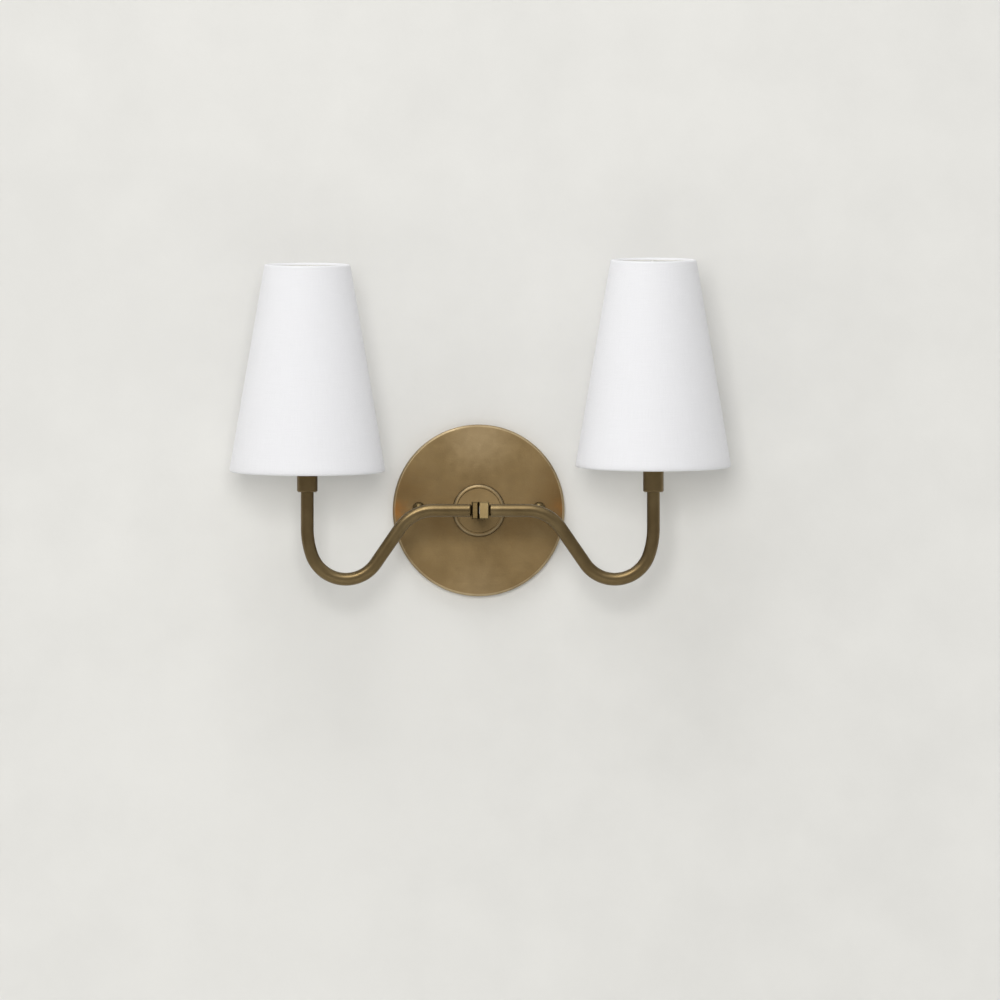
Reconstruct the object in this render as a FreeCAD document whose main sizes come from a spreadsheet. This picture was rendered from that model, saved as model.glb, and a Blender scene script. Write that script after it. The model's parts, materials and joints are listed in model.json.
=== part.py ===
"""Double arm wall sconce with two cone shades, built as separate pieces.

Millimetres.  The wall is the plane Y = 0, the room lies towards -Y and +Z is up.
The origin is the middle of the mounting strap's back face, on the axis of the outlet box.
"""

import FreeCAD, Part
import math
import os
import re

import Sketcher

ROOM_SIDE = FreeCAD.Rotation(FreeCAD.Vector(0, 0, 1), 180)
SIDES = {"left": -1, "right": 1}

# alias, size, what it is
SIZES = [
    ("fit_gap", 0.05, "radial room between a shaft and its hole"),
    ("plate_diameter", 127.0, "round backplate, 5 in"),
    ("plate_depth", 8.0, "wall to the front of the backplate"),
    ("plate_sheet", 1.6, "sheet of the spun backplate"),
    ("plate_edge_radius", 2.0, "roll of the backplate's front edge"),
    ("boss_diameter", 39.0, "boss in the middle of the backplate"),
    ("boss_height", 4.5, "thickness of the boss"),
    ("boss_chamfer", 2.2, "slope round the boss"),
    ("boss_curve", 2.53, "curve of that slope"),
    ("boss_recess_diameter", 33.0, "shallow step in the boss face, inside a thin rim"),
    ("boss_recess_depth", 0.6, "depth of that step"),
    ("projection", 76.2, "wall to the arms' axis, 3 in"),
    ("tube_diameter", 9.5, "arm and stem tube"),
    ("tube_bore", 7.5, "inside of the arm tube"),
    ("stem_bore", 8.1, "inside of the stem tube"),
    ("nipple_diameter", 8.0, "threaded tube that clamps the stem"),
    ("nipple_bore", 5.5, "wire way in a threaded tube"),
    ("nipple_inset", 1.0, "wall to the rear end of the stem's threaded tube"),
    ("nipple_end_room", 0.3, "threaded tube to the arms' plugs"),
    ("nipple_grip", 8.0, "threaded tube inside the lampholder"),
    ("nut_width", 13.0, "locknut across its flats"),
    ("nut_height", 3.0, "locknut thickness"),
    ("washer_diameter", 20.0, "washer behind the backplate"),
    ("washer_height", 1.0, "washer thickness"),
    ("strap_length", 108.0, "each bar of the crossed strap"),
    ("strap_width", 16.0, "width of a strap bar"),
    ("strap_sheet", 1.5, "strap thickness"),
    ("strap_hole", 14.0, "wire hole in the middle of the strap"),
    ("screw_spacing", 88.9, "outlet box screws, 3 1/2 in"),
    ("stud_rise", 1.8, "studs and cap nuts above the plate's middle, as photographed"),
    ("slot_width", 4.6, "strap slot, clear of a no. 8 screw"),
    ("slot_length", 12.0, "strap slot from end to end"),
    ("stud_diameter", 4.0, "mounting stud"),
    ("stud_length", 13.0, "strap to the stud's tip"),
    ("stud_hole", 5.0, "stud hole in the backplate"),
    ("cap_ball_radius", 4.5, "round head of a cap nut"),
    ("cap_foot_radius", 3.4, "foot of a cap nut"),
    ("cap_foot_height", 1.8, "foot of a cap nut, plate to ball"),
    ("cap_end_room", 0.6, "room over the stud's tip in a cap nut"),
    ("earth_hole", 3.4, "earth screw hole in the strap"),
    ("earth_offset", 22.0, "earth screw from the middle"),
    ("earth_head_radius", 3.4, "pan head of the earth screw"),
    ("earth_head_height", 2.0, "pan head of the earth screw"),
    ("earth_head_round", 1.1, "rounded rim of that head"),
    ("hub_size", 12.7, "cube where the arms meet, 1/2 in"),
    ("seam_offset", 0.7, "seam between the halves, left of the middle"),
    ("seam_gap", 0.2, "hairline between the halves"),
    ("seam_bevel", 1.6, "bevel of the left half along the seam"),
    ("hub_bevel", 0.8, "bevel round the hub's front"),
    ("hub_wire_way", 5.0, "wire way through the hub"),
    ("plug_head", 3.0, "head of an arm's end plug"),
    ("plug_round", 1.8, "rounding of the end plug"),
    ("plug_spigot", 7.4, "end plug inside the tube"),
    ("plug_depth", 8.0, "end plug inside the tube, length"),
    ("plug_thread", 6.0, "threaded end of the plug"),
    ("plug_reach", 3.5, "threaded end inside the hub"),
    ("plug_bore", 4.0, "wire way through the end plug"),
    ("bend_start", 34.3, "hub middle to the upper bend"),
    ("upper_radius", 30.0, "upper bend, centre line"),
    ("slope_angle", 55.5, "fall of the arm between its bends, degrees"),
    ("lower_radius", 26.5, "lower bend, centre line"),
    ("easing_radius", 60.0, "gentle run from the lower bend into the leg"),
    ("easing_angle", 19.0, "turn of that gentle run, degrees"),
    ("leg_offset", 127.0, "middle to each leg, 5 in"),
    ("leg_top", 24.0, "arms' axis to the top of the leg"),
    ("collar_diameter", 15.2, "collar under the shade"),
    ("collar_bottom", 13.4, "arms' axis to the collar"),
    ("collar_top", 31.5, "arms' axis to the collar's top"),
    ("collar_chamfer", 1.0, "lower edge of the collar"),
    ("cup_diameter", 26.0, "cup that the candle sleeve stands in"),
    ("cup_height", 8.0, "cup height"),
    ("cup_sheet", 1.2, "cup thickness"),
    ("cup_foot_inset", 1.4, "flat foot of the cup, inside its wall"),
    ("cup_belly", 0.8, "wall of the cup at the top of its rounded foot, outside its seat"),
    ("cup_round", 2.4, "rounding of the cup's foot"),
    ("cup_round_top", 2.2, "foot to the top of that rounding"),
    ("cup_seat", 1.8, "straight seat of the sleeve in the cup"),
    ("holder_diameter", 20.4, "lampholder body"),
    ("holder_height", 34.0, "lampholder body"),
    ("holder_floor", 12.3, "solid foot of the lampholder"),
    ("holder_seat", 9.0, "depth of the threaded seat in that foot"),
    ("holder_edge", 1.0, "slope at both ends of the lampholder"),
    ("holder_wire_hole", 1.5, "hole through the floor, radius"),
    ("shell_diameter", 14.0, "screw shell outside"),
    ("shell_bore", 12.5, "screw shell inside"),
    ("shell_height", 18.0, "screw shell"),
    ("shell_lip_room", 1.5, "turned-in foot to the centre contact"),
    ("shell_lip_sheet", 0.6, "sheet of that foot"),
    ("contact_diameter", 5.0, "centre contact"),
    ("contact_height", 1.8, "centre contact"),
    ("contact_round", 1.0, "rounding of the centre contact"),
    ("sleeve_diameter", 23.2, "candle sleeve outside"),
    ("sleeve_bore", 21.2, "candle sleeve inside"),
    ("sleeve_height", 37.0, "candle sleeve"),
    ("sleeve_edge", 0.6, "rounding of the sleeve's rim"),
    ("bulb_cap_diameter", 11.9, "small screw cap of the bulb, 12 mm"),
    ("bulb_cap_height", 18.0, "screw cap"),
    ("bulb_cap_sheet", 0.4, "sheet of the screw cap"),
    ("bulb_cap_cone", 4.0, "foot of the cap up to its full width"),
    ("bulb_tip_diameter", 4.6, "contact at the end of the cap"),
    ("bulb_tip_height", 1.0, "contact at the end of the cap"),
    ("bulb_neck", 13.6, "glass where it leaves the cap"),
    ("bulb_diameter", 35.0, "glass at its widest"),
    ("bulb_widest", 30.0, "cap top to the widest glass"),
    ("bulb_lower_radius", 35.6, "curve of the glass below the widest place"),
    ("bulb_upper_radius", 60.0, "curve of the glass above it"),
    ("bulb_nose", 3.0, "glass where its blunt tip starts, radius"),
    ("bulb_nose_height", 2.2, "height of the blunt tip"),
    ("bulb_glass", 1.0, "glass thickness"),
    ("clip_wire", 1.4, "wire of the bulb clip"),
    ("clip_reach", 15.65, "bulb axis to the middle of a clip loop"),
    ("loop_half_width", 9.0, "clip loop, half across"),
    ("loop_half_height", 21.0, "clip loop, half up and down"),
    ("loop_level", 102.0, "arms' axis to the middle of a loop"),
    ("loop_flare", 9.5, "loops lean out below, to guide the bulb in, degrees"),
    ("arch_spring", 130.0, "arms' axis to where the clip's arch starts"),
    ("eye_width", 4.0, "clip eye along the pivot"),
    ("eye_depth", 5.0, "clip eye, front to back"),
    ("eye_rise", 3.5, "pivot to the top of the eye"),
    ("pivot_level", 147.0, "arms' axis to the shade pivot"),
    ("pin_diameter", 2.0, "pivot pin"),
    ("pin_press", 0.02, "room round the pin where the fork holds it"),
    ("pin_rim", 0.7, "riveted head outside the pin"),
    ("pin_head", 0.9, "height of a riveted head"),
    ("fork_sheet", 1.2, "sheet of the shade's fork"),
    ("fork_gap", 0.1, "clip eye to each ear of the fork"),
    ("fork_rise", 5.2, "pivot to the fork's bridge"),
    ("bridge_rim", 3.5, "bridge of the fork outside its ears"),
    ("shade_height", 152.4, "shade, 6 in"),
    ("shade_top_radius", 31.75, "top of the shade, 2 1/2 in across"),
    ("shade_bottom_radius", 57.15, "bottom of the shade, 4 1/2 in across"),
    ("shade_bottom", 28.2, "arms' axis to the bottom of the shade"),
    ("cloth", 0.6, "linen thickness"),
    ("liner", 0.5, "stiff liner thickness"),
    ("hem_radius", 1.6, "cloth rolled round a ring"),
    ("hem_turn_up", 7.0, "cloth turned up inside the bottom"),
    ("ring_wire", 1.9, "shade ring wire"),
    ("spoke_wire", 2.0, "shade spoke wire"),
    ("spoke_foot", 5.0, "shade axis to a spoke's foot on the bridge"),
    ("spoke_inset", 0.5, "spoke's head inside the top ring's middle"),
    ("spoke_drop", 1.1, "spoke's head below the top ring's middle"),
    ("left_lean", 3.3, "shade towards the room, as photographed, degrees"),
    ("right_lean", 3.7, "shade towards the room, as photographed, degrees"),
    ("left_raise", 0.0, "clip higher on the bulb, as photographed"),
    ("right_raise", 3.6, "clip higher on the bulb, as photographed"),
]

doc = FreeCAD.newDocument("double_arm_wall_sconce")
sheet = doc.addObject("Spreadsheet::Sheet", "Sheet")
parts = []


# ---- the sheet and small helpers ----

def fill_sheet():
    """One row for each driving size: its name, its number and its note."""
    for row, (alias, number, note) in enumerate(SIZES, start=1):
        sheet.set(f"A{row}", alias)
        sheet.set(f"B{row}", str(number))
        sheet.setAlias(f"B{row}", alias)
        sheet.set(f"C{row}", note)
    doc.recompute()


def bound(text):
    """An expression in which every size name is read from the sheet."""
    return re.sub(r"\b(?!(?:sin|cos|tan|sqrt)\b)[a-z_]{3,}\b", r"Sheet.\g<0>", text)


def value(text):
    """The number that an expression has now."""
    result = sheet.evalExpression(bound(text))
    return float(getattr(result, "Value", result))


def bind(thing, **expressions):
    """Bind properties of a document object to the sheet; __ stands for a dot."""
    for name, text in expressions.items():
        thing.setExpression(name.replace("__", "."), bound(text))


def place(thing, across="0", out="0", up="0"):
    """Bind where an object stands: across X, out from the wall and up."""
    bind(thing, Placement__Base__x=across, Placement__Base__y=f"-({out})", Placement__Base__z=up)


def keep(thing, label):
    """Name a finished sub-part and note it for the file output."""
    thing.Label = label
    parts.append(thing)
    return thing


def new_body(name):
    """An empty body of the document."""
    return doc.addObject("PartDesign::Body", name)


def new_sketch(body, plane, offset="0"):
    """A sketch on one of the body's own origin planes, moved along its normal."""
    support = [item for item in body.Origin.OriginFeatures if item.Role == plane][0]
    sketch = body.newObject("Sketcher::SketchObject", body.Name + "_sketch")
    sketch.AttachmentSupport = (support, [""])
    sketch.MapMode = "FlatFace"
    bind(sketch, AttachmentOffset__Base__z=offset)
    return sketch


def pin_point(sketch, geometry, point, across, up):
    """Hold one point of a sketch by its two distances from the origin."""
    for kind, text, axis in (("DistanceX", across, -2), ("DistanceY", up, -1)):
        number = value(text)
        if abs(number) < 1e-9:
            sketch.addConstraint(Sketcher.Constraint("PointOnObject", geometry, point, axis))
        else:
            index = sketch.addConstraint(Sketcher.Constraint(kind, -1, 1, geometry, point, number))
            sketch.setExpression(f"Constraints[{index}]", bound(text))


def arc_between(start, end, radius, turn):
    """The shorter arc from start to end; turn is 1 to the left and -1 to the right."""
    chord = end - start
    rise = math.sqrt(max(radius ** 2 - chord.Length ** 2 / 4, 0.0))
    normal = FreeCAD.Vector(-chord.y, chord.x, 0).normalize()
    centre = (start + end) * 0.5 + normal * rise * turn
    first, last = (start, end) if turn > 0 else (end, start)
    angles = [math.atan2(p.y - centre.y, p.x - centre.x) for p in (first, last)]
    if angles[1] <= angles[0]:
        angles[1] += 2 * math.pi
    circle = Part.Circle(centre, FreeCAD.Vector(0, 0, 1), radius)
    return Part.ArcOfCircle(circle, angles[0], angles[1])


def draw(sketch, corners, closed=True):
    """Lines and arcs through corners (across, up); a corner with a radius and a turn ends an arc."""
    points = [FreeCAD.Vector(value(c[0]), value(c[1]), 0) for c in corners]
    first = sketch.GeometryCount
    ends = []
    for index in range(0 if closed else 1, len(corners)):
        start, end, corner = points[index - 1], points[index], corners[index]
        if len(corner) == 2:
            sketch.addGeometry(Part.LineSegment(start, end))
            ends.append((1, 2))
        else:
            radius, turn = corner[2], corner[3]
            geometry = sketch.addGeometry(arc_between(start, end, value(radius), turn))
            ends.append((1, 2) if turn > 0 else (2, 1))
            if abs((end - start).Length - 2 * value(radius)) < 1e-6:
                sketch.addConstraint(Sketcher.Constraint("Horizontal", geometry, 1, geometry, 3))
            else:
                hold = sketch.addConstraint(Sketcher.Constraint("Radius", geometry, value(radius)))
                sketch.setExpression(f"Constraints[{hold}]", bound(radius))
    last = len(ends) if closed else len(ends) - 1
    for index in range(last):
        after = (index + 1) % len(ends)
        joint = (first + index, ends[index][1], first + after, ends[after][0])
        sketch.addConstraint(Sketcher.Constraint("Coincident", *joint))
    for index, (_, finish) in enumerate(ends):
        corner = corners[index if closed else index + 1]
        pin_point(sketch, first + index, finish, corner[0], corner[1])
    if not closed:
        pin_point(sketch, first, ends[0][0], corners[0][0], corners[0][1])


def circle(sketch, across, up, radius):
    """A full circle in a sketch."""
    centre = FreeCAD.Vector(value(across), value(up), 0)
    geometry = sketch.addGeometry(Part.Circle(centre, FreeCAD.Vector(0, 0, 1), value(radius)))
    index = sketch.addConstraint(Sketcher.Constraint("Radius", geometry, value(radius)))
    sketch.setExpression(f"Constraints[{index}]", bound(radius))
    pin_point(sketch, geometry, 3, across, up)


def box_corners(low_across, low_up, high_across, high_up):
    """The four corners of a rectangle."""
    return [(low_across, low_up), (high_across, low_up), (high_across, high_up), (low_across, high_up)]


def turn_profile(body, plane, corners):
    """Revolve a closed outline about the vertical axis of its sketch."""
    sketch = new_sketch(body, plane)
    draw(sketch, corners)
    feature = body.newObject("PartDesign::Revolution", body.Name + "_turn")
    feature.Profile = sketch
    feature.ReferenceAxis = (sketch, ["V_Axis"])
    feature.Angle = 360
    return feature


def turned_up(name, corners):
    """A piece turned about Z from an outline (radius, height)."""
    body = new_body(name)
    turn_profile(body, "XZ_Plane", corners)
    return keep(body, name)


def turned_out(name, corners):
    """A piece turned about the wall's normal from an outline (radius, distance into the room)."""
    body = new_body(name)
    turn_profile(body, "XY_Plane", corners)
    body.Placement = FreeCAD.Placement(FreeCAD.Vector(), ROOM_SIDE)
    return keep(body, name)


def pad(body, sketch, length):
    """Pad a sketch along its normal."""
    feature = body.newObject("PartDesign::Pad", body.Name + "_pad")
    feature.Profile = sketch
    bind(feature, Length=length)
    return feature


def pocket_through(body, sketch):
    """Cut a sketch through the whole body, both ways."""
    feature = body.newObject("PartDesign::Pocket", body.Name + "_cut")
    feature.Profile = sketch
    feature.Type = "ThroughAll"
    feature.Midplane = True
    return feature


def sweep(body, path, section):
    """Run a section along a path sketch."""
    feature = body.newObject("PartDesign::AdditivePipe", body.Name + "_sweep")
    feature.Profile = section
    doc.recompute()
    edges = [f"Edge{number + 1}" for number in range(len(path.Shape.Edges))]
    feature.Spine = (path, edges)
    return feature


def edges_at(feature, test):
    """The names of a feature's edges whose middle passes a test."""
    doc.recompute()
    names = []
    for number, edge in enumerate(feature.Shape.Edges, start=1):
        middle = edge.valueAt((edge.FirstParameter + edge.LastParameter) / 2)
        if test(middle, edge):
            names.append(f"Edge{number}")
    return names


def bevel(body, feature, names, size):
    """Chamfer named edges of a feature."""
    chamfer = body.newObject("PartDesign::Chamfer", body.Name + "_bevel")
    chamfer.Base = (feature, names)
    bind(chamfer, Size=size)
    return chamfer


def mirrored(source, name):
    """The mirror image of a piece on the other side of the middle plane."""
    image = doc.addObject("Part::Mirroring", name)
    image.Source = source
    image.Normal = (1, 0, 0)
    return keep(image, name)


def fused(name, pieces):
    """One solid from several that run into each other."""
    whole = doc.addObject("Part::MultiFuse", name)
    whole.Shapes = pieces
    whole.Refine = False
    return keep(whole, name)


# ---- backplate, boss, strap and their fasteners ----

def make_backplate():
    """A spun pan: flat front, rolled edge, open towards the wall."""
    inner = "plate_diameter / 2 - plate_sheet"
    body = new_body("backplate")
    turn_profile(body, "XY_Plane", [
        ("nipple_diameter / 2 + fit_gap", "plate_depth - plate_sheet"),
        (inner, "plate_depth - plate_sheet"),
        (inner, "0"),
        ("plate_diameter / 2", "0"),
        ("plate_diameter / 2", "plate_depth - plate_edge_radius"),
        ("plate_diameter / 2 - plate_edge_radius", "plate_depth", "plate_edge_radius", 1),
        ("nipple_diameter / 2 + fit_gap", "plate_depth"),
    ])
    body.Placement = FreeCAD.Placement(FreeCAD.Vector(), ROOM_SIDE)
    holes = new_sketch(body, "XZ_Plane")
    circle(holes, "screw_spacing / 2", "stud_rise", "stud_hole / 2")
    circle(holes, "-screw_spacing / 2", "stud_rise", "stud_hole / 2")
    pocket_through(body, holes)
    keep(body, "backplate")


def make_boss():
    """The stepped disc that the stem stands on."""
    front = "plate_depth + boss_height"
    turned_out("stem_boss", [
        ("nipple_diameter / 2 + fit_gap", "plate_depth"),
        ("boss_diameter / 2", "plate_depth"),
        ("boss_diameter / 2", f"{front} - boss_chamfer"),
        ("boss_diameter / 2 - boss_chamfer", front, "boss_curve", 1),
        ("boss_recess_diameter / 2", front),
        ("boss_recess_diameter / 2", f"{front} - boss_recess_depth"),
        ("nipple_diameter / 2 + fit_gap", f"{front} - boss_recess_depth"),
    ])


def make_stem():
    """The stem tube from the boss to the hub."""
    foot = "plate_depth + boss_height - boss_recess_depth"
    turned_out("stem_tube", [
        ("stem_bore / 2", foot),
        ("tube_diameter / 2", foot),
        ("tube_diameter / 2", "projection - hub_size / 2"),
        ("stem_bore / 2", "projection - hub_size / 2"),
    ])


def make_stem_nipple():
    """The threaded tube that runs from behind the backplate into the hub."""
    end = "projection - plug_thread / 2 - nipple_end_room"
    turned_out("stem_nipple", [
        ("nipple_bore / 2", "nipple_inset"),
        ("nipple_diameter / 2", "nipple_inset"),
        ("nipple_diameter / 2", end),
        ("nipple_bore / 2", end),
    ])


def make_washer():
    """The washer between the backplate and its locknut."""
    back = "plate_depth - plate_sheet - washer_height"
    turned_out("stem_washer", [
        ("nipple_diameter / 2 + fit_gap", back),
        ("washer_diameter / 2", back),
        ("washer_diameter / 2", "plate_depth - plate_sheet"),
        ("nipple_diameter / 2 + fit_gap", "plate_depth - plate_sheet"),
    ])


def make_locknut():
    """The hexagon nut that clamps stem, boss and backplate together."""
    body = new_body("stem_locknut")
    sketch = new_sketch(body, "XZ_Plane", "plate_depth - plate_sheet - washer_height - nut_height")
    across = "nut_width / 2"
    point = "nut_width / sqrt(3)"
    draw(sketch, [
        (point, "0"),
        (f"{point} / 2", across),
        (f"-{point} / 2", across),
        (f"-{point}", "0"),
        (f"-{point} / 2", f"-{across}"),
        (f"{point} / 2", f"-{across}"),
    ])
    circle(sketch, "0", "0", "nipple_diameter / 2 + fit_gap")
    pad(body, sketch, "nut_height")
    keep(body, "stem_locknut")


def slot(sketch, middle):
    """A slot that runs up and down through the middle line."""
    side, run = "slot_width / 2", "(slot_length - slot_width) / 2"
    draw(sketch, [
        (side, f"{middle} - {run}", side, 1),
        (side, f"{middle} + {run}"),
        (f"-{side}", f"{middle} + {run}", side, 1),
        (f"-{side}", f"{middle} - {run}"),
    ])


def make_strap():
    """A flat crossed strap: studs on the level bar, slots for the box screws on the upright one."""
    body = new_body("mounting_strap")
    half, arm = "strap_length / 2", "strap_width / 2"
    sketch = new_sketch(body, "XZ_Plane")
    draw(sketch, [
        (half, f"-{arm}"), (half, arm), (arm, arm), (arm, half),
        (f"-{arm}", half), (f"-{arm}", arm), (f"-{half}", arm), (f"-{half}", f"-{arm}"),
        (f"-{arm}", f"-{arm}"), (f"-{arm}", f"-{half}"), (arm, f"-{half}"), (arm, f"-{arm}"),
    ])
    circle(sketch, "0", "0", "strap_hole / 2")
    circle(sketch, "screw_spacing / 2", "stud_rise", "stud_diameter / 2 + fit_gap")
    circle(sketch, "-screw_spacing / 2", "stud_rise", "stud_diameter / 2 + fit_gap")
    circle(sketch, "earth_offset", "0", "earth_hole / 2 + fit_gap")
    slot(sketch, "screw_spacing / 2")
    slot(sketch, "-screw_spacing / 2")
    pad(body, sketch, "strap_sheet")
    keep(body, "mounting_strap")


def make_studs():
    """The two studs that the cap nuts run on."""
    studs = []
    for side, sign in SIDES.items():
        stud = doc.addObject("Part::Cylinder", f"stud_{side}")
        stud.Placement.Rotation = FreeCAD.Rotation(FreeCAD.Vector(1, 0, 0), 90)
        bind(stud, Radius="stud_diameter / 2", Height="stud_length")
        place(stud, f"{sign} * screw_spacing / 2", "0", "stud_rise")
        studs.append(stud)
    group = doc.addObject("Part::Compound", "mounting_studs")
    group.Links = studs
    keep(group, "mounting_studs")


def make_earth_screw():
    """The earth screw in the strap, its pan head towards the room."""
    top, rim = "strap_sheet + earth_head_height", "earth_head_height / 2"
    screw = turned_out("earth_screw", [
        ("0", "0"),
        ("earth_hole / 2", "0"),
        ("earth_hole / 2", "strap_sheet"),
        ("earth_head_radius", "strap_sheet"),
        ("earth_head_radius", f"{top} - {rim}"),
        (f"earth_head_radius - {rim}", top, "earth_head_round", 1),
        ("0", top),
    ])
    place(screw, "earth_offset")


def make_cap_nut(side, sign):
    """A ball-headed cap nut, bored blind for its stud."""
    foot, ball = "cap_foot_radius", "cap_ball_radius"
    bore = "stud_diameter / 2 + fit_gap"
    tip = "stud_length - plate_depth + cap_end_room"
    throat = f"cap_foot_height + {ball} - sqrt({ball} * {ball} - {foot} * {foot})"
    nut = turned_out(f"cap_nut_{side}", [
        (bore, "0"),
        (foot, "0"),
        (foot, throat),
        ("0", f"cap_foot_height + 2 * {ball}", ball, 1),
        ("0", tip),
        (bore, tip),
    ])
    place(nut, f"{sign} * screw_spacing / 2", "plate_depth", "stud_rise")


# ---- hub and arms ----

def make_hub_half(side, sign):
    """Half of the cube: bored for the arm's plug, for the stem and for the wires."""
    body = new_body(f"hub_half_{side}")
    half = "hub_size / 2"
    seam = f"-seam_offset + {sign} * seam_gap / 2"
    outer = f"{sign} * {half}"
    low, high = (outer, seam) if sign < 0 else (seam, outer)
    sketch = new_sketch(body, "XZ_Plane", f"-{half}")
    draw(sketch, box_corners(low, f"-{half}", high, half))
    block = pad(body, sketch, "hub_size")
    front = value("hub_size / 2")
    joint = value(seam)
    names = edges_at(block, lambda m, e: abs(m.y + front) < 1e-6 and abs(m.x - joint) > 0.1)
    block = bevel(body, block, names, "hub_bevel")
    if side == "left":
        names = edges_at(block, lambda m, e: abs(m.y + front) < 1e-6 and abs(m.x - joint) < 1e-6)
        block = bevel(body, block, names, "seam_bevel")
    back = new_sketch(body, "XZ_Plane")
    circle(back, "0", "0", "nipple_diameter / 2 + fit_gap")
    deep = body.newObject("PartDesign::Pocket", body.Name + "_stem_seat")
    deep.Profile = back
    deep.Reversed = False
    bind(deep, Length="hub_size")
    way = new_sketch(body, "YZ_Plane")
    circle(way, "0", "0", "hub_wire_way / 2")
    pocket_through(body, way)
    seat = new_sketch(body, "YZ_Plane", outer)
    circle(seat, "0", "0", "plug_thread / 2 + fit_gap")
    bore = body.newObject("PartDesign::Pocket", body.Name + "_arm_seat")
    bore.Profile = seat
    bore.Reversed = sign < 0
    bind(bore, Length="plug_reach + fit_gap")
    place(body, "0", "projection")
    keep(body, f"hub_half_{side}")


def make_plug():
    """The turned plug brazed into the arm's inner end: rounded head, spigot and thread."""
    base = "hub_size / 2"
    head = f"{base} + plug_head"
    profile = [
        ("plug_bore / 2", f"{base} - plug_reach"),
        ("plug_thread / 2", f"{base} - plug_reach"),
        ("plug_thread / 2", base),
        ("tube_diameter / 2 - plug_round", base),
        ("tube_diameter / 2", f"{base} + plug_round", "plug_round", 1),
        ("tube_diameter / 2", head),
        ("plug_spigot / 2", head),
        ("plug_spigot / 2", f"{head} + plug_depth"),
        ("plug_bore / 2", f"{head} + plug_depth"),
    ]
    plug = turned_up("arm_plug_right", profile)
    plug.Placement.Rotation = FreeCAD.Rotation(FreeCAD.Vector(0, 1, 0), 90)
    place(plug, "0", "projection")
    mirrored(plug, "arm_plug_left")


def arm_path(body):
    """The arm's centre line: level run, upper bend, slope, lower bend, gentle run and leg."""
    sketch = new_sketch(body, "XZ_Plane")
    up = FreeCAD.Vector(0, 0, 1)
    start = value("hub_size / 2 + plug_head")
    slope = math.radians(value("slope_angle"))
    easing = math.radians(value("easing_angle"))
    upper, lower, gentle = value("upper_radius"), value("lower_radius"), value("easing_radius")
    quarter = math.pi / 2
    bend = FreeCAD.Vector(value("bend_start"), 0, 0)
    upper_end = bend + FreeCAD.Vector(math.sin(slope), math.cos(slope) - 1, 0) * upper
    lower_across = lower * (math.sin(slope) + math.cos(easing))
    gentle_across = gentle * (1 - math.cos(easing))
    left_over = value("leg_offset") - upper_end.x - lower_across - gentle_across
    downhill = FreeCAD.Vector(math.cos(slope), -math.sin(slope), 0)
    slope_end = upper_end + downhill * (left_over / math.cos(slope))
    lower_centre = slope_end + FreeCAD.Vector(math.sin(slope), math.cos(slope), 0) * lower
    lower_end = lower_centre + FreeCAD.Vector(math.cos(easing), -math.sin(easing), 0) * lower
    gentle_centre = lower_end - FreeCAD.Vector(math.cos(easing), -math.sin(easing), 0) * gentle
    leg_start = gentle_centre + FreeCAD.Vector(gentle, 0, 0)
    leg_end = FreeCAD.Vector(leg_start.x, value("leg_top"), 0)
    upper_circle = Part.Circle(bend - FreeCAD.Vector(0, upper, 0), up, upper)
    lower_circle = Part.Circle(lower_centre, up, lower)
    gentle_circle = Part.Circle(gentle_centre, up, gentle)
    sketch.addGeometry(Part.LineSegment(FreeCAD.Vector(start, 0, 0), bend))
    sketch.addGeometry(Part.ArcOfCircle(upper_circle, quarter - slope, quarter))
    sketch.addGeometry(Part.LineSegment(upper_end, slope_end))
    sketch.addGeometry(Part.ArcOfCircle(lower_circle, -quarter - slope, -easing))
    sketch.addGeometry(Part.ArcOfCircle(gentle_circle, -easing, 0))
    sketch.addGeometry(Part.LineSegment(leg_start, leg_end))
    joints = [(0, 2, 1, 2), (1, 1, 2, 1), (2, 2, 3, 1), (3, 2, 4, 1), (4, 2, 5, 1)]
    for joint in joints:
        sketch.addConstraint(Sketcher.Constraint("Tangent", *joint))
    sketch.addConstraint(Sketcher.Constraint("PointOnObject", 0, 2, -1))
    sketch.addConstraint(Sketcher.Constraint("PointOnObject", 0, 1, -1))
    sketch.addConstraint(Sketcher.Constraint("Vertical", 5))
    holds = [
        (("DistanceX", -1, 1, 0, 1), "hub_size / 2 + plug_head"),
        (("DistanceX", -1, 1, 0, 2), "bend_start"),
        (("Radius", 1), "upper_radius"),
        (("Radius", 3), "lower_radius"),
        (("Radius", 4), "easing_radius"),
        (("DistanceX", -1, 1, 5, 2), "leg_offset"),
        (("DistanceY", -1, 1, 5, 2), "leg_top"),
    ]
    for items, text in holds:
        index = sketch.addConstraint(Sketcher.Constraint(*items, value(text)))
        sketch.setExpression(f"Constraints[{index}]", bound(text))
    for geometry, text in ((2, "-slope_angle"), (4, "easing_angle")):
        angle = math.radians(value(text))
        index = sketch.addConstraint(Sketcher.Constraint("Angle", geometry, angle))
        sketch.setExpression(f"Constraints[{index}]", bound(text))
    return sketch


def make_arm():
    """The bent tube of one arm, and its mirror image."""
    body = new_body("arm_tube_right")
    path = arm_path(body)
    section = new_sketch(body, "YZ_Plane", "hub_size / 2 + plug_head")
    circle(section, "0", "0", "tube_diameter / 2")
    circle(section, "0", "0", "tube_bore / 2")
    sweep(body, path, section)
    place(body, "0", "projection")
    keep(body, "arm_tube_right")
    mirrored(body, "arm_tube_left")


# ---- what stands on each leg ----

def stand_on_leg(thing, sign, level="0"):
    """Put a turned piece on the axis of one leg."""
    place(thing, f"{sign} * leg_offset", "projection", level)


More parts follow.
